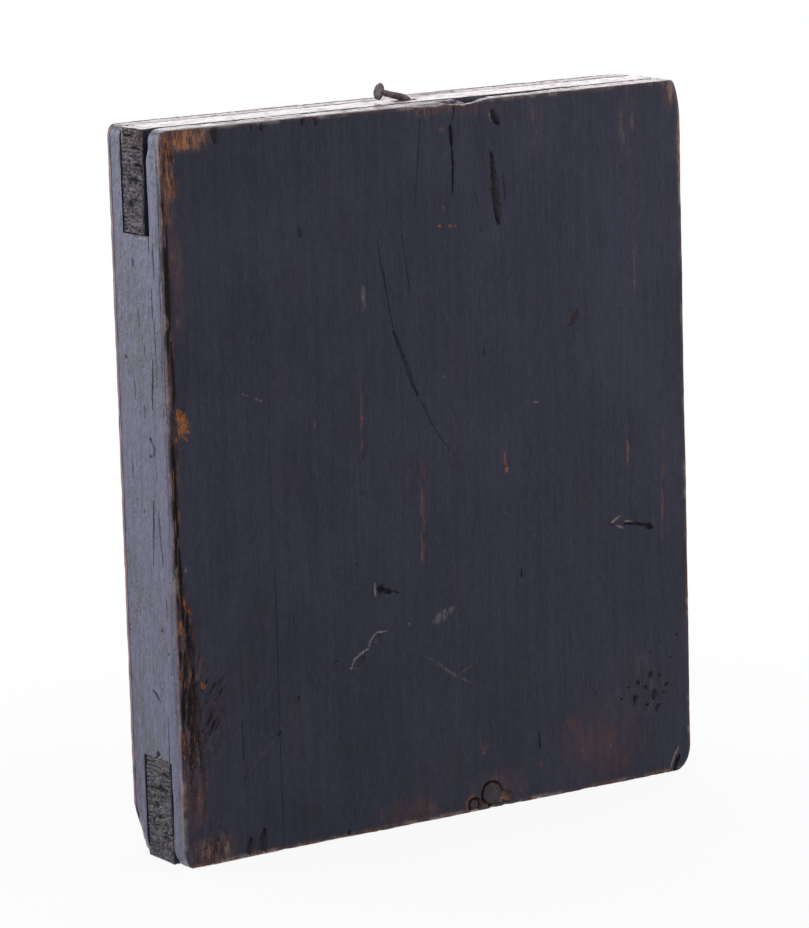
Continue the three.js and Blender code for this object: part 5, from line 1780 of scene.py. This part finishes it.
class MakeStage(bpy.types.Operator):
    """Make the floor, the room's light, the lamps and the camera"""

    bl_idname = "icon.make_stage"
    bl_label = "Stage"

    def execute(self, context):
        scene, stage = context.scene, context.scene.icon_stage
        away = stage.lamp_distance
        scene.view_settings.view_transform = "Standard"
        self.make_floor(scene, stage.floor / 2)
        self.make_sky(scene, stage.sky_glow)
        for name, place, tint, glow in (
            ("lamp behind left", (1.45, -away, 0.75), (0.90, 0.94, 1.0), stage.lamp_glow),
            ("lamp behind right", (-1.45, -away, 0.85), (1.0, 0.935, 0.968), stage.lamp_glow),
            ("lamp in front", (-2.0, 1.2, 1.3), (0.98, 0.98, 1.0), stage.fill_glow),
        ):
            self.make_lamp(scene, stage, name, place, tint, glow)
        self.make_camera(scene)
        return {"FINISHED"}

    def make_floor(self, scene, half):
        """A pale floor that is white to the camera and keeps the shadow."""
        mesh = bpy.data.meshes.new("floor")
        corners = [(-half, -half, 0), (half, -half, 0), (half, half, 0), (-half, half, 0)]
        mesh.from_pydata(corners, [], [(0, 1, 2, 3)])
        s = Shades("pale floor")
        speckle = s.noise((40, 40, 40), detail=2)
        pale = s.mix(speckle, (0.86, 0.86, 0.87), (0.88, 0.88, 0.88))
        s.finish(Base_Color=pale, Roughness=0.9, Specular_IOR_Level=0.1)
        middle = s.add("ShaderNodeVectorMath", operation="LENGTH")
        s.put(middle.inputs[0], s.stretch((MM, MM, MM)))
        far = s.ramp(middle.outputs["Value"], 0.2, 0.45, 0.9, 1.0)
        white = s.link(s.add("ShaderNodeEmission"), Color=(1, 1, 1), Strength=1.0)
        shown = s.times(far, s.seen_plainly())
        s.link(s.output, Surface=s.fill(s.add("ShaderNodeMixShader"), shown, s.shader.outputs[0], white))
        mesh.materials.append(s.material)
        floor = bpy.data.objects.new("floor", mesh)
        scene.collection.objects.link(floor)

    def make_sky(self, scene, glow):
        """Even light from all round, and a white background for the camera, metal and glass."""
        scene.world = bpy.data.worlds.new("room")
        scene.world.use_nodes = True
        sky = Nodes(scene.world.node_tree)
        light = sky.link(sky.add("ShaderNodeBackground"), Color=(0.98, 0.99, 1), Strength=glow)
        white = sky.link(sky.add("ShaderNodeBackground"), Color=(1, 1, 1), Strength=1)
        mixed = sky.fill(sky.add("ShaderNodeMixShader"), sky.seen_plainly(), light, white)
        sky.link(sky.add("ShaderNodeOutputWorld"), Surface=mixed)

    def make_lamp(self, scene, stage, name, place, tint, glow):
        """A soft lamp that looks at the icon and is not seen by the camera."""
        light = bpy.data.lights.new(name, "AREA")
        light.shape = "RECTANGLE"
        light.size, light.size_y = stage.lamp_width, stage.lamp_height
        light.color = tint
        light.energy = glow * math.pi * stage.lamp_width * stage.lamp_height
        lamp = bpy.data.objects.new(name, light)
        scene.collection.objects.link(lamp)
        lamp.location = place
        aim = Vector((0, 0, 0.2)) - Vector(place)
        lamp.rotation_euler = aim.to_track_quat("-Z", "Y").to_euler()
        lamp.visible_camera = False

    def make_camera(self, scene):
        """The camera, at the photograph's angle and distance."""
        data = bpy.data.cameras.new("camera")
        data.lens, data.sensor_width = 178.24, 36
        camera = bpy.data.objects.new("camera", data)
        scene.collection.objects.link(camera)
        right = Vector((-0.826681, 0.561971, -0.028057))
        up = Vector((-0.12546, -0.135489, 0.982803))
        turn = Matrix((right, up, right.cross(up))).transposed().to_4x4()
        camera.matrix_world = Matrix.Translation((1.09028, 1.61644, 0.5156)) @ turn
        scene.camera = camera


class IconPanel(bpy.types.Panel):
    """The icon's pieces, one button each"""

    bl_idname = "VIEW3D_PT_icon"
    bl_label = "Panel icon"
    bl_space_type = "VIEW_3D"
    bl_region_type = "UI"
    bl_category = "Icon"

    def draw(self, context):
        for operator in OPERATORS:
            self.layout.operator(operator.bl_idname)
        for name, group in GROUPS.items():
            box = self.layout.box()
            for setting in group.__annotations__:
                box.prop(getattr(context.scene, name), setting)


OPERATORS = (
    MakeBoards, MakeSplinters, MakeBattens, MakeNails, MakeGrounds, MakePaint, MakeBeads, DressPegs,
    MakeStage,
)
GROUPS = {"icon_sizes": IconSizes, "icon_colours": IconColours, "icon_stage": IconStage}


def register():
    for cls in (*GROUPS.values(), *OPERATORS, IconPanel):
        bpy.utils.register_class(cls)
    for name, group in GROUPS.items():
        setattr(bpy.types.Scene, name, PointerProperty(type=group))


def unregister():
    for name in GROUPS:
        delattr(bpy.types.Scene, name)
    for cls in reversed((*GROUPS.values(), *OPERATORS, IconPanel)):
        bpy.utils.unregister_class(cls)


def main():
    register()
    bpy.ops.icon.make_boards()
    bpy.ops.icon.make_splinters()
    bpy.ops.icon.make_battens()
    bpy.ops.icon.make_nails()
    bpy.ops.icon.make_grounds()
    bpy.ops.icon.make_paint()
    bpy.ops.icon.make_beads()
    bpy.ops.icon.dress_pegs()
    bpy.ops.icon.make_stage()
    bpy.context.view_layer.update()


if __name__ == "__main__":
    main()
